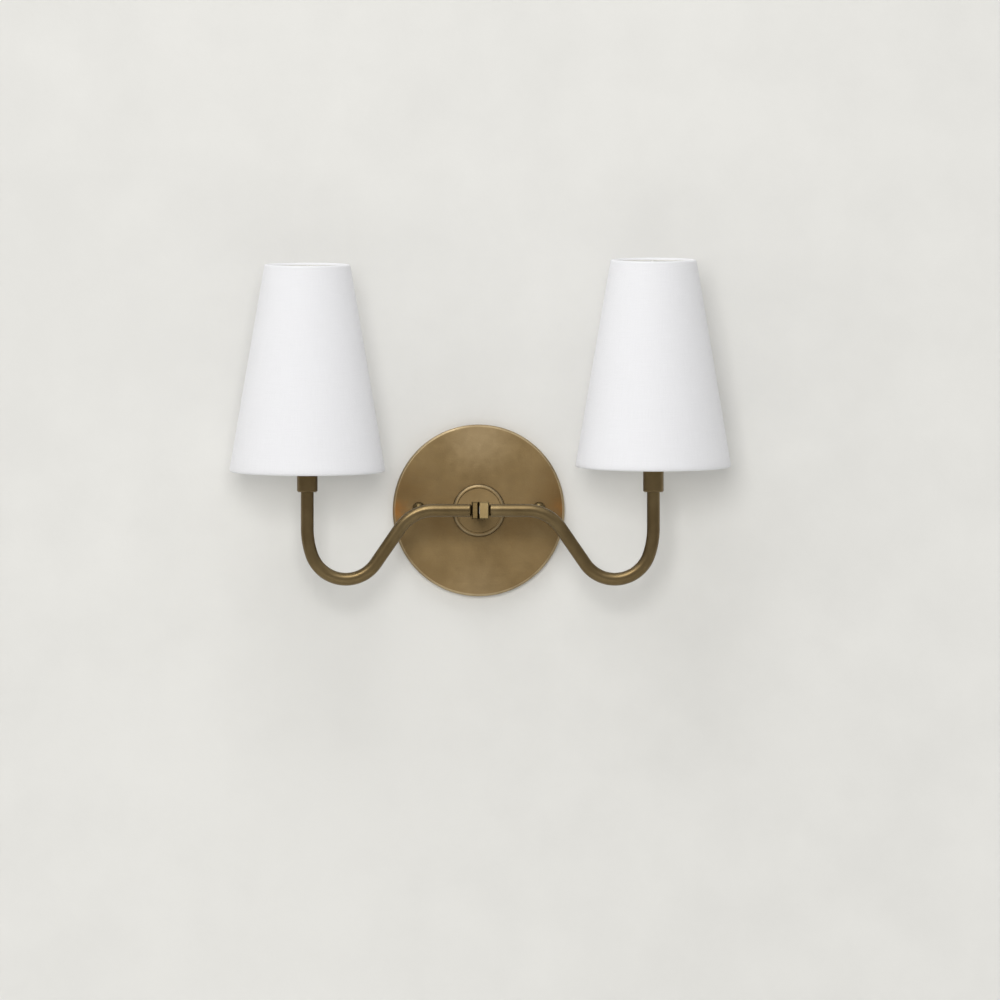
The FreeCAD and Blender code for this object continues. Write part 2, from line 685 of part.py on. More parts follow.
def make_collar(side, sign):
    """The collar that joins the leg to the lampholder's threaded tube."""
    collar = turned_up(f"collar_{side}", [
        ("tube_diameter / 2 + fit_gap", "collar_bottom"),
        ("collar_diameter / 2 - collar_chamfer", "collar_bottom"),
        ("collar_diameter / 2", "collar_bottom + collar_chamfer"),
        ("collar_diameter / 2", "collar_top"),
        ("nipple_diameter / 2 + fit_gap", "collar_top"),
        ("nipple_diameter / 2 + fit_gap", "leg_top"),
        ("tube_diameter / 2 + fit_gap", "leg_top"),
    ])
    stand_on_leg(collar, sign)


def make_socket_nipple(side, sign):
    """The short threaded tube that carries cup and lampholder."""
    height = "collar_top - leg_top + cup_sheet + nipple_grip"
    nipple = turned_up(f"socket_nipple_{side}", [
        ("nipple_bore / 2", "0"),
        ("nipple_diameter / 2", "0"),
        ("nipple_diameter / 2", height),
        ("nipple_bore / 2", height),
    ])
    stand_on_leg(nipple, sign, "leg_top")


def make_cup(side, sign):
    """The shallow cup on the collar, its wall flared a little."""
    inner, rim = "sleeve_diameter / 2 + fit_gap", "cup_diameter / 2"
    cup = turned_up(f"candle_cup_{side}", [
        ("nipple_diameter / 2 + fit_gap", "0"),
        (f"{inner} - cup_foot_inset", "0"),
        (f"{inner} + cup_belly", "cup_round_top", "cup_round", 1),
        (rim, "cup_height"),
        (f"{rim} - cup_sheet", "cup_height"),
        (inner, "cup_sheet + cup_seat"),
        (inner, "cup_sheet"),
        ("nipple_diameter / 2 + fit_gap", "cup_sheet"),
    ])
    stand_on_leg(cup, sign, "collar_top")


def make_holder(side, sign):
    """The lampholder body: solid foot, threaded for the nipple, open above for the screw shell."""
    holder = turned_up(f"lampholder_{side}", [
        ("nipple_diameter / 2 + fit_gap", "0"),
        ("holder_diameter / 2 - holder_edge", "0"),
        ("holder_diameter / 2", "holder_edge"),
        ("holder_diameter / 2", "holder_height - holder_edge"),
        ("holder_diameter / 2 - holder_edge", "holder_height"),
        ("shell_diameter / 2 + fit_gap", "holder_height"),
        ("shell_diameter / 2 + fit_gap", "holder_floor"),
        ("holder_wire_hole", "holder_floor"),
        ("holder_wire_hole", "holder_seat"),
        ("nipple_diameter / 2 + fit_gap", "holder_seat"),
    ])
    stand_on_leg(holder, sign, "collar_top + cup_sheet")


def make_shell(side, sign):
    """The screw shell, turned in at its foot."""
    shell = turned_up(f"screw_shell_{side}", [
        ("contact_diameter / 2 + shell_lip_room", "0"),
        ("shell_diameter / 2", "0"),
        ("shell_diameter / 2", "shell_height"),
        ("shell_bore / 2", "shell_height"),
        ("shell_bore / 2", "shell_lip_sheet"),
        ("contact_diameter / 2 + shell_lip_room", "shell_lip_sheet"),
    ])
    stand_on_leg(shell, sign, "collar_top + cup_sheet + holder_floor")


def make_contact(side, sign):
    """The centre contact in the floor of the lampholder."""
    contact = turned_up(f"centre_contact_{side}", [
        ("0", "0"),
        ("contact_diameter / 2", "0"),
        ("contact_diameter / 2", "contact_height - contact_round"),
        ("contact_diameter / 2 - contact_round", "contact_height", "contact_round", 1),
        ("0", "contact_height"),
    ])
    stand_on_leg(contact, sign, "collar_top + cup_sheet + holder_floor")


def make_sleeve(side, sign):
    """The candle sleeve over the lampholder."""
    sleeve = turned_up(f"candle_sleeve_{side}", [
        ("sleeve_bore / 2", "0"),
        ("sleeve_diameter / 2", "0"),
        ("sleeve_diameter / 2", "sleeve_height - sleeve_edge"),
        ("sleeve_diameter / 2 - sleeve_edge", "sleeve_height", "sleeve_edge", 1),
        ("sleeve_bore / 2", "sleeve_height"),
    ])
    stand_on_leg(sleeve, sign, "collar_top + cup_sheet")


# ---- bulbs ----

BULB_FOOT = "collar_top + cup_sheet + holder_floor + contact_height"


def make_bulb_cap(side, sign):
    """The bulb's screw cap with its contact."""
    inside = "bulb_cap_diameter / 2 - bulb_cap_sheet"
    cap = turned_up(f"bulb_cap_{side}", [
        ("0", "0"),
        ("bulb_tip_diameter / 2", "0"),
        ("bulb_tip_diameter / 2", "bulb_tip_height"),
        ("bulb_cap_diameter / 2 - bulb_cap_cone / 2", "bulb_cap_cone / 2"),
        ("bulb_cap_diameter / 2", "bulb_cap_cone"),
        ("bulb_cap_diameter / 2", "bulb_cap_height"),
        (inside, "bulb_cap_height"),
        (inside, "bulb_cap_cone + bulb_cap_sheet"),
        ("0", "bulb_cap_cone + bulb_cap_sheet"),
    ])
    stand_on_leg(cap, sign, BULB_FOOT)


def make_bulb_glass(side, sign):
    """The candle-shaped glass, a thin shell open at its neck."""
    neck, wide = "bulb_neck / 2", "bulb_diameter / 2"
    low, high = "bulb_lower_radius", "bulb_upper_radius"
    drop = f"sqrt({low} * {low} - ({low} - {wide} + {neck}) * ({low} - {wide} + {neck}))"
    narrowing = f"({high} - {wide} + bulb_nose)"
    tip = f"bulb_widest + sqrt({high} * {high} - {narrowing} * {narrowing})"
    thin, narrow_inside = f"({high} - bulb_glass)", f"({narrowing} - bulb_glass)"
    inside_tip = f"bulb_widest + sqrt({thin} * {thin} - {narrow_inside} * {narrow_inside})"
    nose_curve = "bulb_nose_height / 2 + bulb_nose * bulb_nose / bulb_nose_height / 2"
    glass = turned_up(f"bulb_glass_{side}", [
        (neck, "0"),
        (neck, f"bulb_widest - {drop}"),
        (wide, "bulb_widest", low, 1),
        ("bulb_nose", tip, high, 1),
        ("0", f"{tip} + bulb_nose_height", nose_curve, 1),
        ("0", inside_tip),
        ("bulb_nose - bulb_glass", inside_tip),
        (f"{wide} - bulb_glass", "bulb_widest", thin, -1),
        (f"{neck} - bulb_glass", f"bulb_widest - {drop}", f"{low} - bulb_glass", -1),
        (f"{neck} - bulb_glass", "0"),
    ])
    stand_on_leg(glass, sign, f"{BULB_FOOT} + bulb_cap_height")


# ---- bulb clips and shades ----

ARCH_REACH = "clip_reach - loop_half_height * sin(loop_flare)"


def make_loop(side):
    """One oval wire loop of a clip, leaning out at its foot."""
    body = new_body(f"clip_loop_{side}")
    across, high = "loop_half_width", "loop_half_height - loop_half_width"
    path = new_sketch(body, "YZ_Plane")
    draw(path, [
        (across, f"-({high})", across, 1),
        (across, high),
        (f"-{across}", high, across, 1),
        (f"-{across}", f"-({high})"),
    ])
    section = new_sketch(body, "XY_Plane")
    circle(section, "0", "loop_half_width", "clip_wire / 2")
    sweep(body, path, section)
    lean_in = FreeCAD.Rotation(FreeCAD.Vector(0, -1, 0), value("loop_flare"))
    body.Placement.Rotation = lean_in
    bind(body, Placement__Rotation__Angle="loop_flare")
    place(body, "clip_reach", "0", "loop_level")
    return body


def make_arch(side):
    """The wire that carries both loops over the bulb."""
    body = new_body(f"clip_arch_{side}")
    foot = "loop_level + loop_half_height * cos(loop_flare)"
    draw_line = new_sketch(body, "XZ_Plane")
    draw(draw_line, [
        (ARCH_REACH, foot),
        (ARCH_REACH, "arch_spring"),
        (f"-({ARCH_REACH})", "arch_spring", ARCH_REACH, 1),
        (f"-({ARCH_REACH})", foot),
    ], closed=False)
    wire = new_sketch(body, "XY_Plane", foot)
    circle(wire, ARCH_REACH, "0", "clip_wire / 2")
    sweep(body, draw_line, wire)
    return body


def make_clip(side, sign):
    """The wire clip: a loop on each side of the bulb, an arch over it and an eye for the pivot."""
    loop = make_loop(side)
    other = doc.addObject("Part::Mirroring", f"clip_far_loop_{side}")
    other.Source = loop
    other.Normal = (1, 0, 0)
    arch = make_arch(side)
    eye = new_body(f"clip_eye_{side}")
    block = new_sketch(eye, "XZ_Plane", "-eye_depth / 2")
    low, high = f"arch_spring + {ARCH_REACH} - clip_wire / 4", "pivot_level + eye_rise"
    draw(block, box_corners("-eye_width / 2", low, "eye_width / 2", high))
    pad(eye, block, "eye_depth")
    bore = new_sketch(eye, "YZ_Plane")
    circle(bore, "0", "pivot_level", "pin_diameter / 2 + fit_gap")
    pocket_through(eye, bore)
    clip = fused(f"bulb_clip_{side}", [loop, other, arch, eye])
    stand_on_leg(clip, sign, f"{side}_raise")


PIVOT_HEIGHT = "(pivot_level - shade_bottom)"
SHADE_TAPER = "(shade_bottom_radius - shade_top_radius) / (shade_height - 2 * hem_radius)"
FORK_OUTSIDE = "eye_width / 2 + fork_gap + fork_sheet"


def hang(thing, side, sign):
    """Hang a shade piece, drawn upright from the shade's lower edge, on its leaning pivot."""
    lean = f"{side}_lean"
    thing.Placement.Rotation = FreeCAD.Rotation(FreeCAD.Vector(1, 0, 0), value(lean))
    bind(thing, Placement__Rotation__Angle=lean)
    out = f"projection - {PIVOT_HEIGHT} * sin({lean})"
    up = f"pivot_level + {side}_raise - {PIVOT_HEIGHT} * cos({lean})"
    place(thing, f"{sign} * leg_offset", out, up)


def make_cloth(side, sign):
    """The linen cone, rolled over the top ring and turned up inside the bottom ring."""
    low, high = "shade_bottom_radius", "shade_top_radius"
    top = "shade_height - hem_radius"
    roll = "hem_radius - cloth"
    flap = f"{low} - 2 * hem_radius - hem_turn_up * {SHADE_TAPER}"
    cloth = turned_up(f"shade_cloth_{side}", [
        (low, "hem_radius", "hem_radius", 1),
        (high, top),
        (f"{high} - 2 * hem_radius", top, "hem_radius", 1),
        (f"{high} - 2 * hem_radius + cloth", top),
        (f"{high} - cloth", top, roll, -1),
        (f"{low} - cloth", "hem_radius"),
        (f"{low} - 2 * hem_radius + cloth", "hem_radius", roll, -1),
        (f"{flap} + cloth", "hem_radius + hem_turn_up"),
        (flap, "hem_radius + hem_turn_up"),
        (f"{low} - 2 * hem_radius", "hem_radius"),
    ])
    hang(cloth, side, sign)


def make_liner(side, sign):
    """The stiff cone inside the linen, between the two rings."""
    edge = "2 * hem_radius"
    low = f"shade_bottom_radius - {SHADE_TAPER} * hem_radius - cloth - fit_gap"
    high = f"shade_top_radius + {SHADE_TAPER} * hem_radius - cloth - fit_gap"
    liner = turned_up(f"shade_liner_{side}", [
        (low, edge),
        (high, f"shade_height - {edge}"),
        (f"{high} - liner", f"shade_height - {edge}"),
        (f"{low} - liner", edge),
    ])
    hang(liner, side, sign)


def ring(name, radius, level):
    """A closed ring of round wire."""
    torus = doc.addObject("Part::Torus", name)
    bind(torus, Radius1=radius, Radius2="ring_wire / 2", Placement__Base__z=level)
    return torus


def make_bottom_ring(side, sign):
    """The wire ring in the bottom hem."""
    wire = ring(f"shade_bottom_ring_{side}", "shade_bottom_radius - hem_radius", "0")
    keep(wire, f"shade_bottom_ring_{side}")
    lean = f"{side}_lean"
    wire.Placement.Rotation = FreeCAD.Rotation(FreeCAD.Vector(1, 0, 0), value(lean))
    bind(wire, Placement__Rotation__Angle=lean)
    drop = f"({PIVOT_HEIGHT} - hem_radius)"
    out = f"projection - {drop} * sin({lean})"
    up = f"pivot_level + {side}_raise - {drop} * cos({lean})"
    place(wire, f"{sign} * leg_offset", out, up)


def make_spoke(name, angle):
    """One straight spoke from the fork's bridge up to the top ring."""
    foot = FreeCAD.Vector(value("spoke_foot"), 0, value(f"{PIVOT_HEIGHT} + fork_rise + fork_sheet / 2"))
    head = FreeCAD.Vector(
        value("shade_top_radius - hem_radius - spoke_inset"), 0,
        value("shade_height - hem_radius - spoke_drop"))
    spoke = doc.addObject("Part::Cylinder", name)
    bind(spoke, Radius="spoke_wire / 2")
    spoke.Height = (head - foot).Length
    turn = FreeCAD.Rotation(FreeCAD.Vector(0, 0, 1), angle)
    tilt = FreeCAD.Rotation(FreeCAD.Vector(0, 0, 1), head - foot)
    spoke.Placement = FreeCAD.Placement(turn.multVec(foot), turn.multiply(tilt))
    return spoke


def lug(body, inner):
    """One ear of the fork, drawn beside the clip's eye."""
    half, level = "eye_depth / 2", PIVOT_HEIGHT
    sketch = new_sketch(body, "YZ_Plane", inner)
    draw(sketch, [
        (half, level, half, 1),
        (half, f"{level} + fork_rise"),
        (f"-{half}", f"{level} + fork_rise"),
        (f"-{half}", level),
    ])
    circle(sketch, "0", level, "pin_diameter / 2 + pin_press")
    pad(body, sketch, "fork_sheet")


def make_fitter(side, sign):
    """Top ring, three spokes and the fork that takes the pivot pin, soldered into one frame."""
    hoop = ring(f"top_ring_{side}", "shade_top_radius - hem_radius", "shade_height - hem_radius")
    spokes = [make_spoke(f"spoke_{side}_{angle}", angle) for angle in (90, 210, 330)]
    fork = new_body(f"fork_{side}")
    lug(fork, f"{FORK_OUTSIDE} - fork_sheet")
    lug(fork, f"-({FORK_OUTSIDE})")
    bridge = new_sketch(fork, "XY_Plane", f"{PIVOT_HEIGHT} + fork_rise")
    circle(bridge, "0", "0", f"{FORK_OUTSIDE} + bridge_rim")
    pad(fork, bridge, "fork_sheet")
    frame = fused(f"shade_frame_{side}", [hoop, fork] + spokes)
    hang(frame, side, sign)


def make_pin(side, sign):
    """The rivet that the shade tips on, a head at each end."""
    shank, rim = "pin_diameter / 2", "pin_diameter / 2 + pin_rim"
    inner, outer = FORK_OUTSIDE, f"({FORK_OUTSIDE} + pin_head)"
    pin = turned_up(f"pivot_pin_{side}", [
        ("0", f"-{outer}"),
        (rim, f"-{outer}"),
        (rim, f"-({inner})"),
        (shank, f"-({inner})"),
        (shank, inner),
        (rim, inner),
        (rim, outer),
        ("0", outer),
    ])
    pin.Placement.Rotation = FreeCAD.Rotation(FreeCAD.Vector(0, 1, 0), 90)
    place(pin, f"{sign} * leg_offset", "projection", f"pivot_level + {side}_raise")


# ---- the whole sconce ----

def check():
    """Stop unless every object recomputed and every sub-part is one or more sound solids."""
    doc.recompute()
    for item in doc.Objects:
        if "Invalid" in item.State or "Error" in item.State:
            raise RuntimeError(f"{item.Name} did not recompute: {item.State}")
    for item in parts:
        shape = item.Shape
        if shape.isNull() or not shape.isValid() or not shape.Solids:
            raise RuntimeError(f"{item.Label} has no sound solid")


def write():
    """One STEP file for each sub-part."""
    os.makedirs("parts", exist_ok=True)
    for item in parts:
        item.Shape.exportStep(f"parts/{item.Label}.step")
        box = item.Shape.BoundBox
        print(f"{item.Label:24s} {item.Shape.Volume:10.1f} mm3  x {box.XMin:.1f} {box.XMax:.1f}"
              f"  y {box.YMin:.1f} {box.YMax:.1f}  z {box.ZMin:.1f} {box.ZMax:.1f}")


def main():
    """Build every sub-part, check them and write them."""
    fill_sheet()
    make_backplate()
    make_boss()
    make_stem()
    make_stem_nipple()
    make_washer()
    make_locknut()
    make_strap()
    make_studs()
    make_earth_screw()
    make_plug()
    make_arm()
    pieces = [
        make_cap_nut, make_hub_half, make_collar, make_socket_nipple, make_cup, make_holder,
        make_shell, make_contact, make_sleeve, make_bulb_cap, make_bulb_glass, make_clip,
        make_cloth, make_liner, make_bottom_ring, make_fitter, make_pin,
    ]
    for side, sign in SIDES.items():
        for make in pieces:
            make(side, sign)
    check()
    write()


main()
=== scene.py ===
"""Looks of a double arm wall sconce: aged brass, linen cone shades and frosted bulbs on plaster.

Metres, in the frame of the built part: the wall is the plane Y = 0, the room lies towards -Y and
+Z is up. The arms, the shade cloths, the studs and the stem's threaded tube are modelled here. The
other pieces are copies of the built part's, with eased edges and smooth curves.
"""

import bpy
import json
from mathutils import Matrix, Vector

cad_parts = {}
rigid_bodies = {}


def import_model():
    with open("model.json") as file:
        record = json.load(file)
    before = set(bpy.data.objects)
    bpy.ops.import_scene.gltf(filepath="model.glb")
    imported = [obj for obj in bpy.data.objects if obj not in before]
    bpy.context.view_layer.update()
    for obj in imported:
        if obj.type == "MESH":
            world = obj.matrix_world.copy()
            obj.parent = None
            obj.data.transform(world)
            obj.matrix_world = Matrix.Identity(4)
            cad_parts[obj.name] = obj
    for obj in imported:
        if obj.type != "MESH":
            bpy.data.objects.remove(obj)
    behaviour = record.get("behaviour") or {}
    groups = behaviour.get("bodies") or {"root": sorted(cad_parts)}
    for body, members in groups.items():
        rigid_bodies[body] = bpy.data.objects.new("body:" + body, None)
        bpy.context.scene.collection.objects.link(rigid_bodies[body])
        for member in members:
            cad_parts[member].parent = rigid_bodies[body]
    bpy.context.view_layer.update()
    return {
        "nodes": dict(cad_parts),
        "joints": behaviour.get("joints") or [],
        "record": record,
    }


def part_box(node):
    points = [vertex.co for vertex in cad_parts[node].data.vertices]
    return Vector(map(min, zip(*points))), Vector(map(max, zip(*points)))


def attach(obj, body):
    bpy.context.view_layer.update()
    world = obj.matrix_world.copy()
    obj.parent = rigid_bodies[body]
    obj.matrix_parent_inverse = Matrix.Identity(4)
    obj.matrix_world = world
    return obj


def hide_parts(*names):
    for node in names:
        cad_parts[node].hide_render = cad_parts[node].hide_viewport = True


bl_info = {
    "name": "Double arm wall sconce",
    "version": (1, 0, 0),
    "blender": (4, 5, 0),
    "location": "3D View > Sidebar > Sconce",
    "description": "Finishes, shades, threads, wall, light and camera of a double arm wall sconce",
    "category": "Object",
}

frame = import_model()

import json
import math

import bpy
from bpy.props import FloatProperty, FloatVectorProperty, IntProperty, PointerProperty
from mathutils import Matrix, Vector

SIDES = {"left": -1, "right": 1}
BODY_OF = {
    node: body
    for body, nodes in frame["record"]["behaviour"]["bodies"].items()
    for node in nodes
}
PIVOTS = {joint["name"]: joint.get("pos_m") for joint in frame["joints"]}
LEG = (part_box("collar_right")[0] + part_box("collar_right")[1]) / 2
ARM_DEPTH = LEG.y
TOWARDS_ROOM = Matrix.Rotation(math.radians(90), 4, "X")

# a ring this small stands for a point, points this near are merged, and facets that meet at less
# than this angle are one face
POLE = 1e-6
MERGE = 5e-6
FLAT_ANGLE = math.radians(0.5)

# faces round a form, and cuts along a straight run
TUBE_SIDES, SHADE_SIDES, THREAD_SIDES, NUT_SIDES, WALL_SIDES = 48, 192, 32, 64, 96
LEVEL_CUTS, SLOPE_CUTS, LEG_CUTS, CONE_CUTS = 6, 4, 8, 44
HEM_CUTS, INNER_HEM_CUTS = 10, 8

# angles up to which an edge is shaded smooth, in degrees
METAL_ANGLE, TUBE_ANGLE, CLOTH_ANGLE, RING_ANGLE = 35, 40, 50, 60
THREAD_ANGLE, SCREW_ANGLE = 20, 30

# threads: (pitch, depth), and the radius of the stem tube's bore
STUD_THREAD = (0.0007, 0.0003)
STEM_THREAD = (0.0009, 0.0004)
STEM_BORE = 0.00275

# the cross in the screw's head: reach as a share of the head's width, half width of an arm, depth
CROSS_REACH = 0.30
CROSS_WIDTH = 0.0004
CROSS_DEPTH = 0.0010

# the locknut's chamfer and the barrel that cuts it, as shares of the nut's half width, and the
# rise of the cloth's seam as a share of the cloth's thickness
CHAMFER = 0.07
BARREL_MARGIN = 1.01
SEAM_RISE = 0.7

# aged brass: patches on the plate (centre, reach, strength, colour of BrassLook) with ragged
# edges, and rims (inner radius, outer radius, strength) that fade out inward and outward. The
# patches at the plate's sides are stains. The brown patches just under the arms are painted
# shadow. The pale patches at the top and bottom are painted highlight. The rims are partly rubbed
# wear and partly painted highlight.
PLATE_STAINS_AND_PAINTED_LIGHT = (
    ((-0.056, -0.008, 0.014), 0.026, 0.55, "brown"),
    # painted shadow: these two brown patches stand for the arms' shadow on the plate
    ((-0.026, -0.012, -0.008), 0.024, 0.45, "brown"),
    ((0.026, -0.012, -0.008), 0.024, 0.45, "brown"),
    ((0.066, -0.008, 0.006), 0.036, 0.95, "brown"),
    # painted highlight: a pale patch at the plate's top where light falls from above, and a
    # fainter pale patch at the bottom
    ((0.0, -0.010, 0.056), 0.036, 0.24, "wear_and_highlight"),
    ((0.0, -0.010, -0.057), 0.030, 0.10, "wear_and_highlight"),
    ((-0.061, -0.008, 0.001), 0.011, 0.85, "stain"),
    ((0.0605, -0.008, 0.002), 0.009, 0.45, "stain"),
)
PATCH_RAGGED = 0.012
# rims painted paler and made smoother: partly rubbed wear, partly a painted highlight
PLATE_RIM = (0.0622, 0.0640, 0.75)
BOSS_RIM = (0.0180, 0.0190, 0.4)
RIM_FADE_INWARD, RIM_FADE_OUTWARD = 0.0007, 0.0004

# light that spreads in cloth and paper, and the paper liner's painted glow, which stands in for
# daylight through the cloth
CLOTH_SPREAD = 0.004
EVEN_SPREAD = (1.0, 1.0, 1.0)
PAPER_GLOW = 0.33
PAPER_TINT = (1.0, 0.97, 0.92, 1)

# stage: the wall's opening for the outlet box, how many times wider the wall is, and its place
# behind the part
OPENING_RADIUS = 0.055
WALL_SPREAD = 60
WALL_GAP = 0.0003
FLOOR_SIZE = 8
FLOOR_PLACE = (0, -3.9, -1.3)
VIEW_MIDDLE = Vector((0.0144, ARM_DEPTH, 0.0077))
SENSOR_WIDTH = 36.0
FAR_CLIP = 100.0

# lamps: place, (width, height) and watts; each looks at the hub
DAYLIGHT = (1.0, 0.99, 0.975)
WINDOW = ((-0.25, -3.60, 0.60), (1.0, 1.1), 54.0)
SKYLIGHT = ((-0.45, -1.05, 2.40), (1.4, 1.0), 17.0)
GLINT = ((-0.60, -1.80, 1.75), (1.4, 0.5), 22.0)

# strengths of the room round the sconce, first as a light and then as it is seen
ROOM_DARK, ROOM_LOW, ROOM_HIGH, ROOM_CEILING = 0.08, 0.08, 0.48, 0.38
ROOM_LEFT, ROOM_RIGHT, ROOM_BEHIND = 0.85, 0.25, 0.50
SEEN_FLOOR, SEEN_WALLS, SEEN_CEILING = 0.26, 0.26, 0.60
ROOM_TINT = (1.0, 0.985, 0.96, 1)
CEILING_TINT = (0.98, 0.99, 1.0, 1)


# ---- sizes and colours that a user would change ----

class BrassLook(bpy.types.PropertyGroup):
    """Colours of the aged brass."""

    light: FloatVectorProperty(
        name="Gold brass", description="Where the finish lies thin", subtype="COLOR",
        size=4, min=0, max=1, default=(0.180, 0.126, 0.060, 1))
    dark: FloatVectorProperty(
        name="Brown brass", description="Where the finish lies thick", subtype="COLOR",
        size=4, min=0, max=1, default=(0.130, 0.087, 0.039, 1))
    # paler brass: rubbed wear on the rims, and painted highlight on the rims and at the plate's
    # top and bottom
    wear_and_highlight: FloatVectorProperty(
        name="Rubbed edge", description="Rims that are rubbed bright", subtype="COLOR",
        size=4, min=0, max=1, default=(0.52, 0.41, 0.25, 1))
    stain: FloatVectorProperty(
        name="Orange stain", description="Heat-coloured patches at the plate's sides",
        subtype="COLOR", size=4, min=0, max=1, default=(0.20, 0.088, 0.024, 1))
    # brown: stains at the plate's sides, and also the painted shadow of the arms on the plate
    brown: FloatVectorProperty(
        name="Brown stain", description="Thick brown patches at the plate's sides",
        subtype="COLOR", size=4, min=0, max=1, default=(0.095, 0.055, 0.020, 1))


class ShadeLook(bpy.types.PropertyGroup):
    """Form and cloth of the shades."""

    top_radius: FloatProperty(
        name="Top radius", description="Outside radius of the shade's top", unit="LENGTH",
        default=0.03175)
    height: FloatProperty(
        name="Height", description="Shade height along its axis", unit="LENGTH", default=0.1524)
    drop: FloatProperty(
        name="Drop", description="Pivot to the lower rim", unit="LENGTH", default=0.1188)
    hem: FloatProperty(
        name="Hem radius", description="Cloth rolled round a ring", unit="LENGTH", default=0.0016)
    cloth: FloatProperty(
        name="Cloth", description="Thickness of the cloth", unit="LENGTH", default=0.0006)
    turn_up: FloatProperty(
        name="Turn-up", description="Cloth turned up inside the lower rim", unit="LENGTH",
        default=0.007)
    lap: FloatProperty(
        name="Seam lap", description="Width of the glued seam at the back", unit="LENGTH",
        default=0.009)
    left_lean: FloatProperty(
        name="Left lean", description="Lean towards the room", subtype="ANGLE",
        default=math.radians(3.3))
    right_lean: FloatProperty(
        name="Right lean", description="Lean towards the room", subtype="ANGLE",
        default=math.radians(3.7))
    thread: FloatProperty(
        name="Thread pitch", description="From one thread of the weave to the next", unit="LENGTH",
        default=0.00042)
    linen: FloatVectorProperty(
        name="Linen", description="Cool white of the cloth", subtype="COLOR",
        size=4, min=0, max=1, default=(0.755, 0.76, 0.79, 1))
    glow: FloatProperty(
        name="Light through the cloth",
        description="Share of the light that spreads inside the cloth", subtype="FACTOR",
        min=0, max=1, default=0.10)


class ArmLook(bpy.types.PropertyGroup):
    """The arms' bends, as they were drawn for the built part."""

    start: FloatProperty(
        name="Tube end", description="Middle to the tube's inner end", unit="LENGTH",
        default=0.00935)
    bend_start: FloatProperty(
        name="Level run", description="Middle to the upper bend", unit="LENGTH", default=0.0343)
    upper: FloatProperty(name="Upper bend", description="Radius", unit="LENGTH", default=0.030)
    slope: FloatProperty(
        name="Slope", description="Fall between the bends", subtype="ANGLE",
        default=math.radians(55.5))
    lower: FloatProperty(name="Lower bend", description="Radius", unit="LENGTH", default=0.0265)
    easing: FloatProperty(name="Easing", description="Radius", unit="LENGTH", default=0.060)
    easing_turn: FloatProperty(
        name="Easing turn", description="Angle of the gentle run", subtype="ANGLE",
        default=math.radians(19))
    tube: FloatProperty(name="Tube radius", description="Outside", unit="LENGTH", default=0.00475)
    wall: FloatProperty(name="Tube wall", description="Thickness", unit="LENGTH", default=0.001)


class StageLook(bpy.types.PropertyGroup):
    """Wall, light and camera."""

    wall: FloatVectorProperty(
        name="Wall", description="Warm white of the plaster", subtype="COLOR",
        size=4, min=0, max=1, default=(0.690, 0.688, 0.670, 1))
    distance: FloatProperty(
        name="Camera distance", description="Camera to the arms", unit="LENGTH", default=10.0)
    azimuth: FloatProperty(
        name="Camera azimuth", description="Camera to the left of the middle", subtype="ANGLE",
        default=math.radians(-1.08))
    view_width: FloatProperty(
        name="View width", description="Width of the picture at the arms", unit="LENGTH",
        default=0.7337)
    steps: IntProperty(name="Bend steps", description="Faces along a bend", default=28, min=8)


# ---- shader maths ----

class Socket:
    """An output of a node that can be used in Python arithmetic."""

    def __init__(self, finish, output):
        self.finish = finish
        self.output = output

    def math(self, operation, *others):
        """A Math node on this value and up to two others."""
        sockets = dict(enumerate((self,) + others))
        return self.finish.node("ShaderNodeMath", {"operation": operation}, sockets)

    def __add__(self, other):
        return self.math("ADD", other)

    __radd__ = __add__

    def __sub__(self, other):
        return self.math("SUBTRACT", other)

    def __rsub__(self, other):
        return (self * -1.0) + other

    def __mul__(self, other):
        return self.math("MULTIPLY", other)

    __rmul__ = __mul__

    def __truediv__(self, other):
        return self.math("DIVIDE", other)

    def __abs__(self):
        return self.math("ABSOLUTE")

    def between(self, low, high):
        """0 below low, 1 above high, smooth between them."""
        return self.finish.node(
            "ShaderNodeMapRange", {"interpolation_type": "SMOOTHSTEP"},
            {"Value": self, "From Min": low, "From Max": high})


